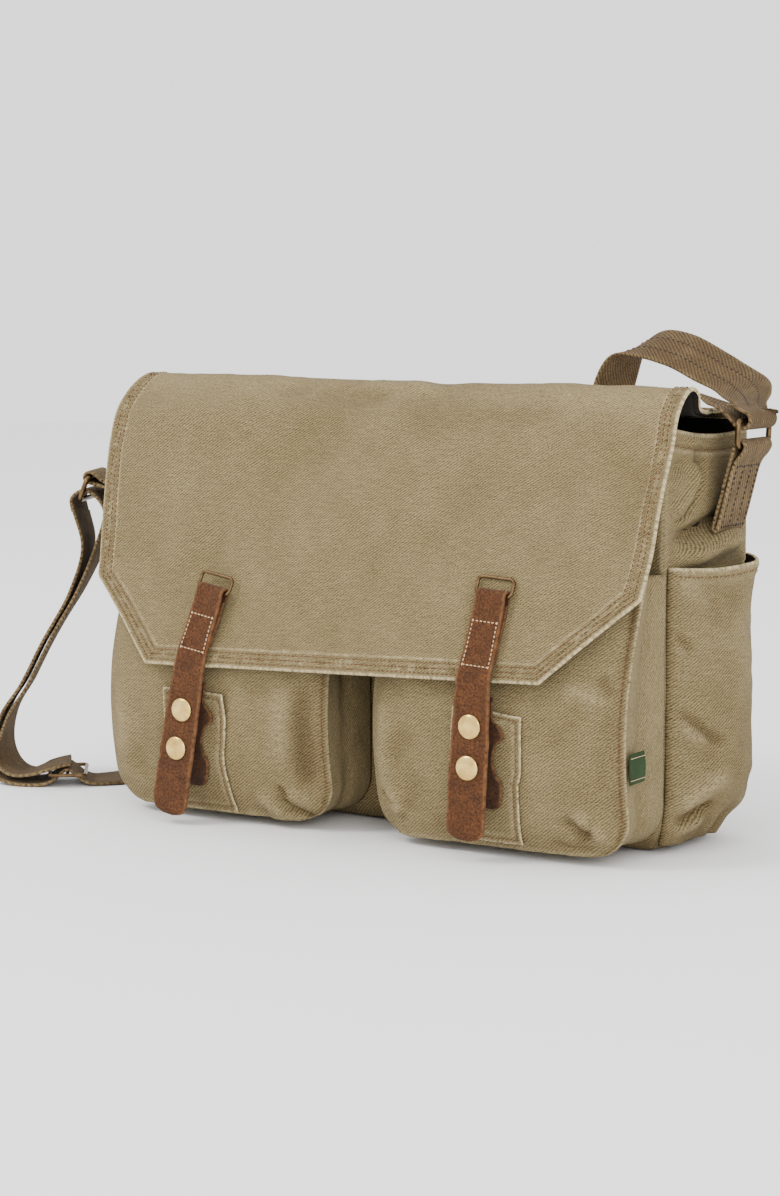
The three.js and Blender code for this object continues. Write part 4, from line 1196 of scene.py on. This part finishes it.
def build_patch(side, base):
    """The reinforcing patch behind the leather tail, its edges turned under and stitched."""
    place = PATCH[side]
    height = place["top"] - place["bottom"]
    left_line, right_line = [flat_curve(line, 8)[0] for line in PATCH_EDGES[side]]
    columns, levels = 40, 64
    u, v = np.meshgrid(np.linspace(0, 1, columns), np.linspace(0, 1, levels))
    left = place["x"] - PATCH_WIDTH / 2 + np.interp(v, left_line[:, 0], left_line[:, 1])
    right = place["x"] + PATCH_WIDTH / 2 + np.interp(v, right_line[:, 0], right_line[:, 1])
    x, z = mix(left, right, u), mix(place["bottom"], place["top"], v)
    z = z + (0.8 * np.sin(u * 5) - 2.0 * u * (side == "right")) * v
    edge = np.minimum(np.minimum(u * (right - left), (1 - u) * (right - left)), np.minimum(v, 1 - v) * height)
    points, normals = lifted(base, lambda a, b: 1.5 + 0 * a)(x, z)
    puffs = wobble(x, z, 14, 121)
    buckle = 0.5 * smooth(3, 0, edge) - 0.45 * hump(edge, 3.2, 0.9) + 0.5 * puffs * smooth(0, 6, edge)
    curl = 1.6 * hump(u, 1, 0.12) * hump(v, 0.93, 0.12) * (side == "left")
    curl = curl + 0.35 * wobble(3 * x, 3 * z, 9, 122) * smooth(4, 0, edge)
    points = points + normals * (buckle + curl)[..., None]
    wear = np.clip(hump(edge, 0, 0.9) + 0.25 * hump(edge, 5, 1.5), 0, 1)
    # darker along the stitched groove, and painted shade in the hollows between the puffs
    shade = np.clip(0.35 * hump(edge, 3.2, 0.8) + 0.25 * np.clip(-puffs, 0, 1), 0, 1)
    patch = cloth(f"snap_patch_{side}_canvas", points, normals, np.stack([x, z], -1), 1.3,
                  [CANVAS_PAINT], wear, shade)
    place_piece(patch, "canvas", "bag", f"snap_patch_{side}")
    inset_u, inset_v = 3.2 / PATCH_WIDTH, 3.2 / height
    first, last = [int(round(t * (columns - 1))) for t in (inset_u, 1 - inset_u)]
    low, high = [int(round(t * (levels - 1))) for t in (inset_v, 1 - inset_v)]
    seams = ((low, slice(first, last)), (high, slice(first, last)),
             (slice(low, high), first), (slice(low, high), last))
    rows = [(points[seam], normals[seam]) for seam in seams]
    thread = stitches(f"snap_patch_{side}_stitching", rows, SEAM_THREAD, radius=0.36)
    place_piece(thread, "canvas", "bag")


def build_side_tag():
    """A plain woven tag caught in the pocket's edge seam."""
    low, high = [np.array(corner) / MM - vec(0, 8, 0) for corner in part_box("side_tag")]
    low, high = low + vec(0, 0, 1.5), high - vec(0, 2, 1.5)
    a, b = np.meshgrid(np.linspace(low[1], high[1], 24), np.linspace(low[2], high[2], 24))
    bend = 0.8 * np.sin((b - low[2]) / 5) * (a - low[1]) / 20
    points = np.stack([np.full_like(a, high[0]) + bend, a, b], -1)
    normals = np.broadcast_to(vec(1, 0, 0), points.shape)
    tag = cloth("side_tag_ribbon", points, normals, np.stack([a, b], -1), 0.9, [TAG_PAINT])
    place_piece(tag, "tag", "bag", "side_tag")
    rows = []
    for height in (low[2] + 2.4, high[2] - 2.4):
        y = np.linspace(low[1] + 1, high[1] - 1, 12)
        spots = np.column_stack([np.full_like(y, high[0] + 0.4), y, np.full_like(y, height)])
        rows.append((spots, np.broadcast_to(vec(1, 0, 0), spots.shape)))
    thread = stitches("side_tag_stitching", rows, PALE_THREAD, length=2.0, pitch=2.1, radius=0.25)
    place_piece(thread, "tag", "bag")


# ---------------------------------------------------------------- flap
def flap_profile(points):
    line, run = flat_curve(points, 24)
    return run / run[-1] * FLAP_LENGTH, line


PROFILES = [flap_profile(points) for points in (FLAP_LEFT, FLAP_MIDDLE, FLAP_RIGHT)]


def flap_half(s):
    hem = mix(FLAP["hem_half"], FLAP["half"], np.clip(s / FLAP["clip"], 0, 1))
    behind = np.clip(s / FLAP_LENGTH - FLAP["taper"], 0, None) / (1 - FLAP["taper"])
    return np.where(s < FLAP["clip"], hem, mix(FLAP["half"], FLAP["back_half"], np.clip(behind, 0, 1)))


def flap_base(x, s):
    shares = [smooth(-30, -185, x), None, smooth(40, 185, x)]
    shares[1] = 1 - shares[0] - shares[2]
    spot = np.zeros(np.shape(x) + (2,))
    rise = np.zeros(np.shape(x) + (2,))
    for (run, line), share in zip(PROFILES, shares):
        here = np.stack([np.interp(s, run, line[:, k]) for k in (0, 1)], -1)
        ahead = np.stack([np.interp(s + 1.5, run, line[:, k]) for k in (0, 1)], -1)
        behind = np.stack([np.interp(s - 1.5, run, line[:, k]) for k in (0, 1)], -1)
        spot += here * share[..., None]
        rise += unit(ahead - behind) * share[..., None]
    rise = unit(rise)
    below = np.minimum(s, 0)
    tilt = FLAP["tilt"] * x * np.clip(1 - s / (FLAP["fold"] * FLAP_LENGTH), 0, 1) + below
    spot = spot + rise * tilt[..., None]
    return np.stack([x, spot[..., 0], spot[..., 1]], -1)


def flap_edge(x, s):
    """How far a point of the flap is from its nearest free edge."""
    clip_out = vec(FLAP["clip"], -(FLAP["half"] - FLAP["hem_half"]))
    clip_out = clip_out / np.linalg.norm(clip_out)
    clipped = -((np.abs(x) - FLAP["hem_half"]) * clip_out[0] + s * clip_out[1])
    return np.minimum(np.minimum(s, clipped), flap_half(s + 0 * x) - np.abs(x))


FLAP_FOLDS = [
    ([(-196, 150), (-150, 158), (-90, 160)], 10, 1.4), ([(-60, 186), (-20, 180), (10, 184)], 7, -2.0),
    ([(-30, 196), (0, 188), (40, 190)], 6, 1.8), ([(-150, 60), (-120, 100), (-112, 140)], 15, 1.2),
    ([(30, 60), (60, 100), (70, 150)], 18, -1.4), ([(120, 40), (150, 90), (160, 140)], 14, 1.4),
    ([(-40, 40), (-20, 90), (10, 130)], 20, 1.2), ([(150, 150), (180, 140), (198, 120)], 8, -1.2),
    ([(60, 175), (90, 168), (130, 176)], 7, -1.0), ([(-110, 190), (-80, 182), (-50, 188)], 6, -1.3),
    ([(-120, 56), (-106, 70), (-100, 90)], 10, -0.9), ([(176, 44), (186, 56), (196, 66)], 5, 1.0),
]
# how far the three rows of stitching are from the hem and from the flap's sides
HEM_ROWS = (2.8, 6.0, 9.2)
SIDE_ROWS = (4.4, 7.6, 10.8)


def near_straps(x, s):
    """1 on the strips of flap under the leather, falling to 0 beside them."""
    total = 0
    for strap in STRAPS.values():
        (rx, rz), (hx, hz) = strap["ring"], strap["hinge"]
        t = np.clip((s - (hz - HEM_Z)) / (rz - hz), -0.3, 1.1)
        line = mix(hx, rx, t)
        total = total + smooth(19, 12, np.abs(x - line)) * smooth(58, 46, s)
    return np.clip(total, 0, 1)


def flap_relief(x, s):
    edge = flap_edge(x, s)
    lumps = 1.5 * wobble(x, s, 62, 131) + 0.7 * wobble(x + 0.4 * s, s, 22, 132) + 0.22 * wobble(x, s, 8, 133)
    own = 1.7 * folds(x, s, FLAP_FOLDS) + lumps
    own = own + 2.2 * wobble(x, 0 * s, 34, 136) * hump(s, FLAP["fold"] * FLAP_LENGTH, 30)
    pressed = near_straps(x, s)
    along = np.where(s < FLAP["clip"], x, s)
    band = smooth(14, 10, edge)
    ribs = 0.5 * np.sin(along * 2 * math.pi / STITCH + 1.3 * wobble(x, s, 12, 134)) * hump(edge, 6, 3.4)
    pulls = 0.45 * wobble(along, edge * 0.25, 4.6, 135) * hump(edge, 9, 6.5)
    hem = 0.75 * band + 0.5 * hump(edge, 1.0, 1.1)
    sewn = -0.42 * sum(hump(edge, row, 0.9) for row in HEM_ROWS)
    back = smooth(FLAP_LENGTH, FLAP_LENGTH - 30, s)
    field = own * (1 - 0.9 * pressed) * smooth(-2, 16, edge) * (0.35 + 0.65 * back)
    return field + (hem + sewn + ribs + pulls) * (1 - pressed) * back


flap_surface = lifted(flap_base, flap_relief, step=0.8)
FLAP_CUT = 244  # where the flap's front piece meets its back piece, behind the roll
TAPERED_HALF = 193  # mean half width of the front piece where it tapers
LINER_INSET = 3.5  # how far the flap's lining stops short of its hem


def flap_rows(name, offsets, start, stop):
    """Rows of thread that follow the flap's edge."""
    rows = []
    for hem_off, side_off in offsets:
        clip = unit(vec(FLAP["half"] - FLAP["hem_half"], FLAP["clip"]))
        inward = vec(-clip[1], clip[0])
        base_point = vec(FLAP["hem_half"], 0) + inward * hem_off
        low_t = (hem_off - base_point[1]) / clip[1]
        corner = base_point + clip * low_t
        high_t = (FLAP["half"] - side_off - base_point[0]) / clip[0]
        shoulder = base_point + clip * high_t
        if start < 50:
            hem = np.linspace(-corner[0], corner[0], 240)
            rows.append((hem, np.full_like(hem, hem_off)))
            for sign in (-1, 1):
                t = np.linspace(0, 1, 60)
                rows.append((sign * mix(corner[0], shoulder[0], t), mix(corner[1], shoulder[1], t)))
        for sign in (-1, 1):
            s = np.linspace(max(start, shoulder[1]), stop, 160)
            rows.append((sign * (flap_half(s) - side_off), s))
    laid = [flap_surface(x, s) for x, s in rows]
    obj = stitches(name, laid, SEAM_THREAD, length=2.2, radius=0.4)
    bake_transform(obj)


def fold_points(reach):
    fold = vec(0, *FLAP_FOLD) * MM
    rise = vec(0, *FLAP_RISE) * MM * reach
    return tuple(fold + rise), tuple(fold - rise)


def build_flap():
    start, end = fold_points(20)
    seam_start, seam_end = (0, 0.0600, 0.266), (0, 0.040, 0.266)
    front_rows = np.concatenate([np.linspace(0, 14, 13)[:-1], np.linspace(14, FLAP_CUT, 116)])
    back_rows = np.linspace(FLAP_CUT, FLAP_LENGTH, 28)
    columns = np.concatenate([np.linspace(-1, -0.93, 13)[:-1], np.linspace(-0.93, 0.93, 330),
                              np.linspace(0.93, 1, 13)[1:]])
    specs = (
        ("front", front_rows, 70, "flap_top", "flap_front", start, end,
         ("flap_front_panel",), ("flap_front_lining",)),
        ("back", back_rows, 16, "bag", "flap_top", seam_start, seam_end,
         ("flap_top_panel",), ("flap_top_lining",)),
    )
    for name, s, liner_rows, a, b, begin, finish, hides, hides_liner in specs:
        u, s = np.meshgrid(columns, s)
        x = u * flap_half(s)
        points, normals = flap_surface(x, s)
        edge = flap_edge(x, s)
        rise = flap_relief(x, s)
        grip = wobble(x, s, 5, 141) * 0.3
        rough = wobble(x, s, 3.1, 142) * hump(edge, 6.5, 6)
        wear = np.clip(0.95 * hump(edge, 0, 0.8) + (0.1 + grip) * hump(edge, 6, 2.4) + 0.15 * rough
                       + 0.35 * hump(edge, 11.6, 0.6) * (1 + rough) + 0.12 * hump(s, 186, 14), 0, 1)
        # darker along the stitch rows, and painted shade in the hollows of the folds
        rows_dark = sum(hump(edge, row, 0.75) for row in HEM_ROWS)
        shade = np.clip(0.4 * rows_dark + np.clip(-rise * 0.1, 0, 0.35), 0, 1)
        panel = cloth(f"flap_{name}_canvas", points, normals, np.stack([x, s], -1), CANVAS,
                      [CANVAS_PAINT, LINING_PAINT], wear, shade)
        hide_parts(*hides)
        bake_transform(panel)
        s = np.linspace(max(LINER_INSET, s[0, 0]), s[-1, 0], liner_rows)
        u, s = np.meshgrid(np.linspace(-1, 1, 130), s)
        x = u * (flap_half(s) - LINER_INSET * 1.2)
        under, facing = flap_surface(x, s)
        under = under - facing * (CANVAS + 0.25)
        liner = cloth(f"flap_{name}_liner", under, facing, np.stack([x, s], -1), LINER, [LINING_PAINT])
        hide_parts(*hides_liner)
        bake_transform(liner)
    offsets = list(zip(HEM_ROWS, SIDE_ROWS))
    flap_rows("flap_front_stitching", offsets, 0, FLAP_CUT)
    flap_rows("flap_back_stitching", offsets, FLAP_CUT, FLAP_LENGTH - 2)
    x = np.linspace(-168, 168, 220)
    seam = [flap_surface(x, np.full_like(x, FLAP_LENGTH - off)) for off in (3, 7)]
    row = stitches("flap_seam_stitching", seam, SEAM_THREAD)
    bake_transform(row)
    half, clip, taper = FLAP["half"], FLAP["clip"], FLAP["taper"] * FLAP_LENGTH
    front_area = (half + FLAP["hem_half"]) * clip + 2 * half * (taper - clip)
    front_area = front_area + 2 * TAPERED_HALF * (FLAP_CUT - taper)


# ---------------------------------------------------------------- leather straps
def leather_ring(half, deep):
    """Outline of a strap of unit half width; the ends are worn round."""
    across = np.linspace(-1, 1, 17)
    top = [(x, 1.0) for x in across]
    bottom = [(x, -1.0) for x in across[::-1]]
    bend = np.radians((60, 20, -20, -60))
    right = [(1 + 0.6 * deep / half * math.cos(t), math.sin(t)) for t in bend]
    left = [(-1 - 0.6 * deep / half * math.cos(t), math.sin(t)) for t in bend[::-1]]
    return np.array(top + right + bottom + left)


def leather(name, path, across, front, halves, thickness, paint=None, seed=5, ragged=0.25):
    """A leather strip of changing width laid along a path."""
    ring = leather_ring(12, thickness / 2)
    run = lengths(path)
    verts = np.empty((len(path), len(ring), 3))
    wear = np.empty((len(path), len(ring)))
    for i in range(len(path)):
        edge = ragged * wobble(np.sign(ring[:, 0]) * 40 + 0 * ring[:, 0], run[i] + 0 * ring[:, 0], 6, seed)
        x = ring[:, 0] * (halves[i] + edge)
        bow = 0.35 * wobble(x, run[i] + 0 * x, 18, seed + 1)
        verts[i] = path[i] + across[i] * x[:, None] + front[i] * (ring[:, 1] * thickness / 2 + bow)[:, None]
        wear[i] = 0.55 * smooth(0.86, 1.0, np.abs(ring[:, 0])) * (ring[:, 1] > -0.5)
    count, size = len(path), len(ring)
    index = np.arange(count * size).reshape(count, size)
    side = np.roll(index, -1, 1)
    faces = np.stack([index[:-1], index[1:], side[1:], side[:-1]], -1).reshape(-1, 4).tolist()
    faces += [index[0].tolist(), index[-1, ::-1].tolist()]
    uv = np.stack(np.broadcast_arrays(ring[:, 0] * 12, run[:, None]), -1)
    # painted shade: the strip's underside darkened by half
    lower = np.broadcast_to((ring[:, 1] < 0) * 0.5, (count, size))
    marks = {"wear": wear.ravel(), "shade": lower.ravel()}
    return make(name, verts.reshape(-1, 3), faces, [paint or SUEDE_PAINT], uv.reshape(-1, 2), marks)


def strap_frames(side):
    """Where a leather strap lies: its bar, the way up it and the frame of its tail."""
    strap = STRAPS[side]
    lift = SNUG + 2 + 1.6
    face = vec(0, -math.cos(SLOPE), math.sin(SLOPE))

    def on_flap(place):
        x, z = place
        return vec(x, HEM_Y + (z - HEM_Z) * math.tan(SLOPE), z) + face * lift

    bar = on_flap(strap["ring"])
    rise = unit(bar - on_flap(strap["hinge"]))
    slope = vec(0, math.sin(SLOPE), math.cos(SLOPE))
    across = -unit(np.cross(rise, np.cross(slope, vec(1, 0, 0))))
    x, y, z = axes(across, rise)
    hinge = vec(strap["hinge"][0], STRAP_FRONT, strap["hinge"][1])
    down = vec(strap["end"][0] - strap["hinge"][0], 0, strap["end"][1] - strap["hinge"][1])
    return bar, x, y, z, hinge, down / np.linalg.norm(down), np.linalg.norm(down)


# a snap's cap, as [radius, height] from its shank to the top of its dome
CAP_PROFILE = [
    (0, -1.2), (1.5, -1.2), (1.5, 0.2), (7.3, 0.2), (7.55, 0.5), (7.5, 0.95), (7.0, 1.35), (6.2, 1.7),
    (5.0, 2.1), (3.6, 2.45), (2.0, 2.65), (0.8, 2.72), (0, 2.74),
]


def build_strap(side):
    """One leather strap, from the loop on the flap down over the hinge to its tail, with its metal."""
    bar, x, y, z, hinge, down, reach = strap_frames(side)
    flank = vec(-down[2], 0, down[0])
    upper = np.linalg.norm(bar - vec(*hinge))
    tail_mid = hinge + vec(0, LEATHER / 2, 0)
    wrap = 2.7
    points = [bar + y * wrap - z * 5, bar + y * wrap]
    points += [bar + y * wrap * math.cos(t) + z * wrap * math.sin(t) for t in np.radians((35, 70, 110, 145))]
    points += [bar - y * wrap, bar - y * 2.3 - z * 4, bar - y * 1.6 - z * 9, bar - y * 1.0 - z * 20]
    points += [bar - y * 0.4 - z * (upper - 10)]
    bows = ((6, 0.1), (14, 0.0), (30, 0.1), (52, 0.0), (72, 0.1), (reach - 16, 0.3), (reach, 0.7))
    points += [tail_mid + down * t + vec(0, bow, 0) for t, bow in bows]
    path = even(curve(np.array(points), 16), 1.6)
    t = tangents(path)
    run = lengths(path)
    total = run[-1]
    blend_share = smooth(40, 70, run)[:, None]
    across = unit(mix(x, -flank if flank[0] < 0 else flank, blend_share))
    front = unit(np.cross(t, across))
    if front[len(front) // 2][1] > 0:
        front = -front
    across = unit(np.cross(front, t))
    stations = [0, 14, 20, 60, total - 60, total - 14, total]
    half_at = np.interp(run, stations, [9.4, 9.6, 9.9, 10.8, 12.2, 12.6, 12.6])
    tip = 10.5
    near_end = np.clip(run - (total - tip), 0, tip) / tip
    half_at = half_at * (0.32 + 0.68 * np.sqrt(np.clip(1 - near_end**2.6, 0, 1)))
    seed = 151 if side == "left" else 161
    strap = leather(f"strap_{side}_leather", path, across, front, half_at, LEATHER, seed=seed)
    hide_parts(f"strap_{side}_tail", f"strap_{side}_anchor")
    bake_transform(strap)

    # the second layer under the strap's upper part, in the darker suede: partly the real doubled leather,
    # partly painted shade along the strap's edge
    back_points = [bar + y * 2.5 - z * 5, bar + y * 2.5 - z * (upper * 0.5), bar + y * 2.5 - z * (upper - 6)]
    back_path = even(curve(np.array(back_points), 10), 2)
    ones = np.ones((len(back_path), 1))
    back_halves = np.full(len(back_path), 10.2)
    backing_and_edge_shade = leather(f"strap_{side}_backing", back_path, ones * x, ones * -y, back_halves, 2.0,
                      DARK_SUEDE_PAINT, 171)
    place_piece(backing_and_edge_shade, "dark_suede", "flap_front")

    inset = 1.6
    box_top, box_low = 17, upper - 2

    def seat(distance, off):
        k = int(np.argmin(np.linalg.norm(path - (bar - z * distance), axis=1)))
        return path[k] + across[k] * off * np.sign(across[k] @ x) + front[k] * (LEATHER / 2 + 0.1)

    downs = np.linspace(box_top, box_low, 40)
    offs = np.interp(downs, [box_top, box_low], [9.9, 10.6]) - inset
    rows = [[seat(d, sign * off) for d, off in zip(downs, offs)] for sign in (-1, 1)]
    rows += [[seat(d, off) for off in np.linspace(-8.2, 8.2, 20)] for d in (box_top, box_low)]
    rows = [even(np.array(row), 0.8) for row in rows]
    laid = [(row, np.broadcast_to(-y, row.shape)) for row in rows]
    row = stitches(f"strap_{side}_stitching", laid, PALE_THREAD, length=1.9, pitch=2.7, radius=0.42)
    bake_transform(row)

    radius = LOOP["wire"] / 2
    centre = bar + z * (LOOP["height"] / 2 - radius)
    ring = wire_loop(f"flap_loop_{side}_wire", LOOP["width"], LOOP["height"], LOOP["corner"], radius,
                     centre, x, z, y, 1.0)
    place_piece(ring, "bronze", f"loop_{side}", f"flap_loop_{side}")

    for label, distance in zip(("upper", "lower"), STRAPS[side]["snaps"]):
        spot = hinge + down * distance
        cap = turned(f"snap_cap_{side}_{label}_dome", CAP_PROFILE, spot, (0, -1, 0), BRASS_PAINT)
        place_piece(cap, "brass", f"strap_{side}", f"snap_cap_{side}_{label}")
    build_tab(side, hinge, down)


TAB = dict(above=16, height=66, half=13, aside=4)
TAB_SCALLOPS = [
    (0, -5), (0.08, 0), (0.2, 0.5), (0.3, -3), (0.45, -6), (0.58, -4), (0.66, 1), (0.74, -2), (0.85, -8),
    (1, -9),
]


def build_tab(side, hinge, down):
    """The dark counter tab on the pocket that carries the two studs."""
    first = hinge + down * STRAPS[side]["snaps"][0]
    top = first[2] + TAB["above"]
    line, _ = flat_curve(TAB_SCALLOPS, 8)
    u, v = np.meshgrid(np.linspace(0, 1, 26), np.linspace(0, 1, 60))
    z = top - (1 - v) * TAB["height"]
    middle = first[0] + TAB["aside"] + (z - first[2]) * (-down[0])
    half = TAB["half"] + np.interp(v, line[:, 0], line[:, 1])
    x = middle + (2 * u - 1) * half
    edge = np.minimum(u, 1 - u)
    lift = SNUG + 1.2 + SNUG + 2
    points, normals = lifted(pocket_base(side), lambda a, b: lift + 0 * a)(x, z)
    rough = 0.25 * wobble(x, z, 7, 181) + 0.5 * smooth(0.15, 0, edge)
    points = points + normals * rough[..., None]
    tab = cloth(f"stud_tab_{side}_leather", points, normals, np.stack([x, z], -1), 2, [DARK_SUEDE_PAINT],
                0.5 * hump(edge, 0, 0.04), 0.1)
    place_piece(tab, "dark_suede", "bag", f"stud_tab_{side}")


def dress_frame_pieces():
    """The studs and sockets keep their frame shape and take the metal's finish."""
    for name, obj in nodes.items():
        if name.startswith(("snap_stud", "snap_socket")):
            obj.data.materials.clear()
            obj.data.materials.append(BRASS_PAINT)


# ---------------------------------------------------------------- floor and light
def build_stage():
    radius, corners = 5000, 96
    angles = np.linspace(0, 2 * math.pi, corners, endpoint=False)
    verts = [(radius * math.cos(a), radius * math.sin(a), 0) for a in angles]
    floor = make("floor", verts, [list(range(corners))], [floor_paint()])
    world = bpy.data.worlds.new("studio")
    scene.world = world
    world.use_nodes = True
    background = world.node_tree.nodes["Background"]
    background.inputs["Color"].default_value = (1, 1, 1, 1)
    background.inputs["Strength"].default_value = 1.75
    for name, place, aim, size, power in (
        ("key", (-1.4, -1.8, 2.3), (0, 0, 0.1), 0.9, 46),
        ("top", (0.2, -0.2, 2.6), (0, 0, 0), 1.8, 8),
        ("fill", (1.9, -2.1, 1.1), (0, 0, 0.12), 1.4, 34),
    ):
        data = bpy.data.lights.new(name, "AREA")
        data.shape = "DISK"
        data.size = size
        data.energy = power
        lamp = bpy.data.objects.new(name, data)
        lamp.location = place
        scene.collection.objects.link(lamp)
        away = unit(vec(*place) - vec(*aim))
        lamp.rotation_euler = look(away)


def look(away):
    """Rotation that points a lamp's -Z against away."""
    return (math.acos(away[2]), 0, math.atan2(away[1], away[0]) + math.pi / 2)


def floor_paint():
    p = Paint("floor", 0.9, specular=0.1)
    p.shader.inputs["Base Color"].default_value = (0.93, 0.93, 0.93, 1)
    return p.material


make_camera()
build_shoulder_strap()
build_rings()
build_strap_folds()
build_side_tabs()
build_body()
build_side_pockets()
build_front_pockets()
build_flap()
for strap_side in ("left", "right"):
    build_strap(strap_side)
dress_frame_pieces()
build_stage()
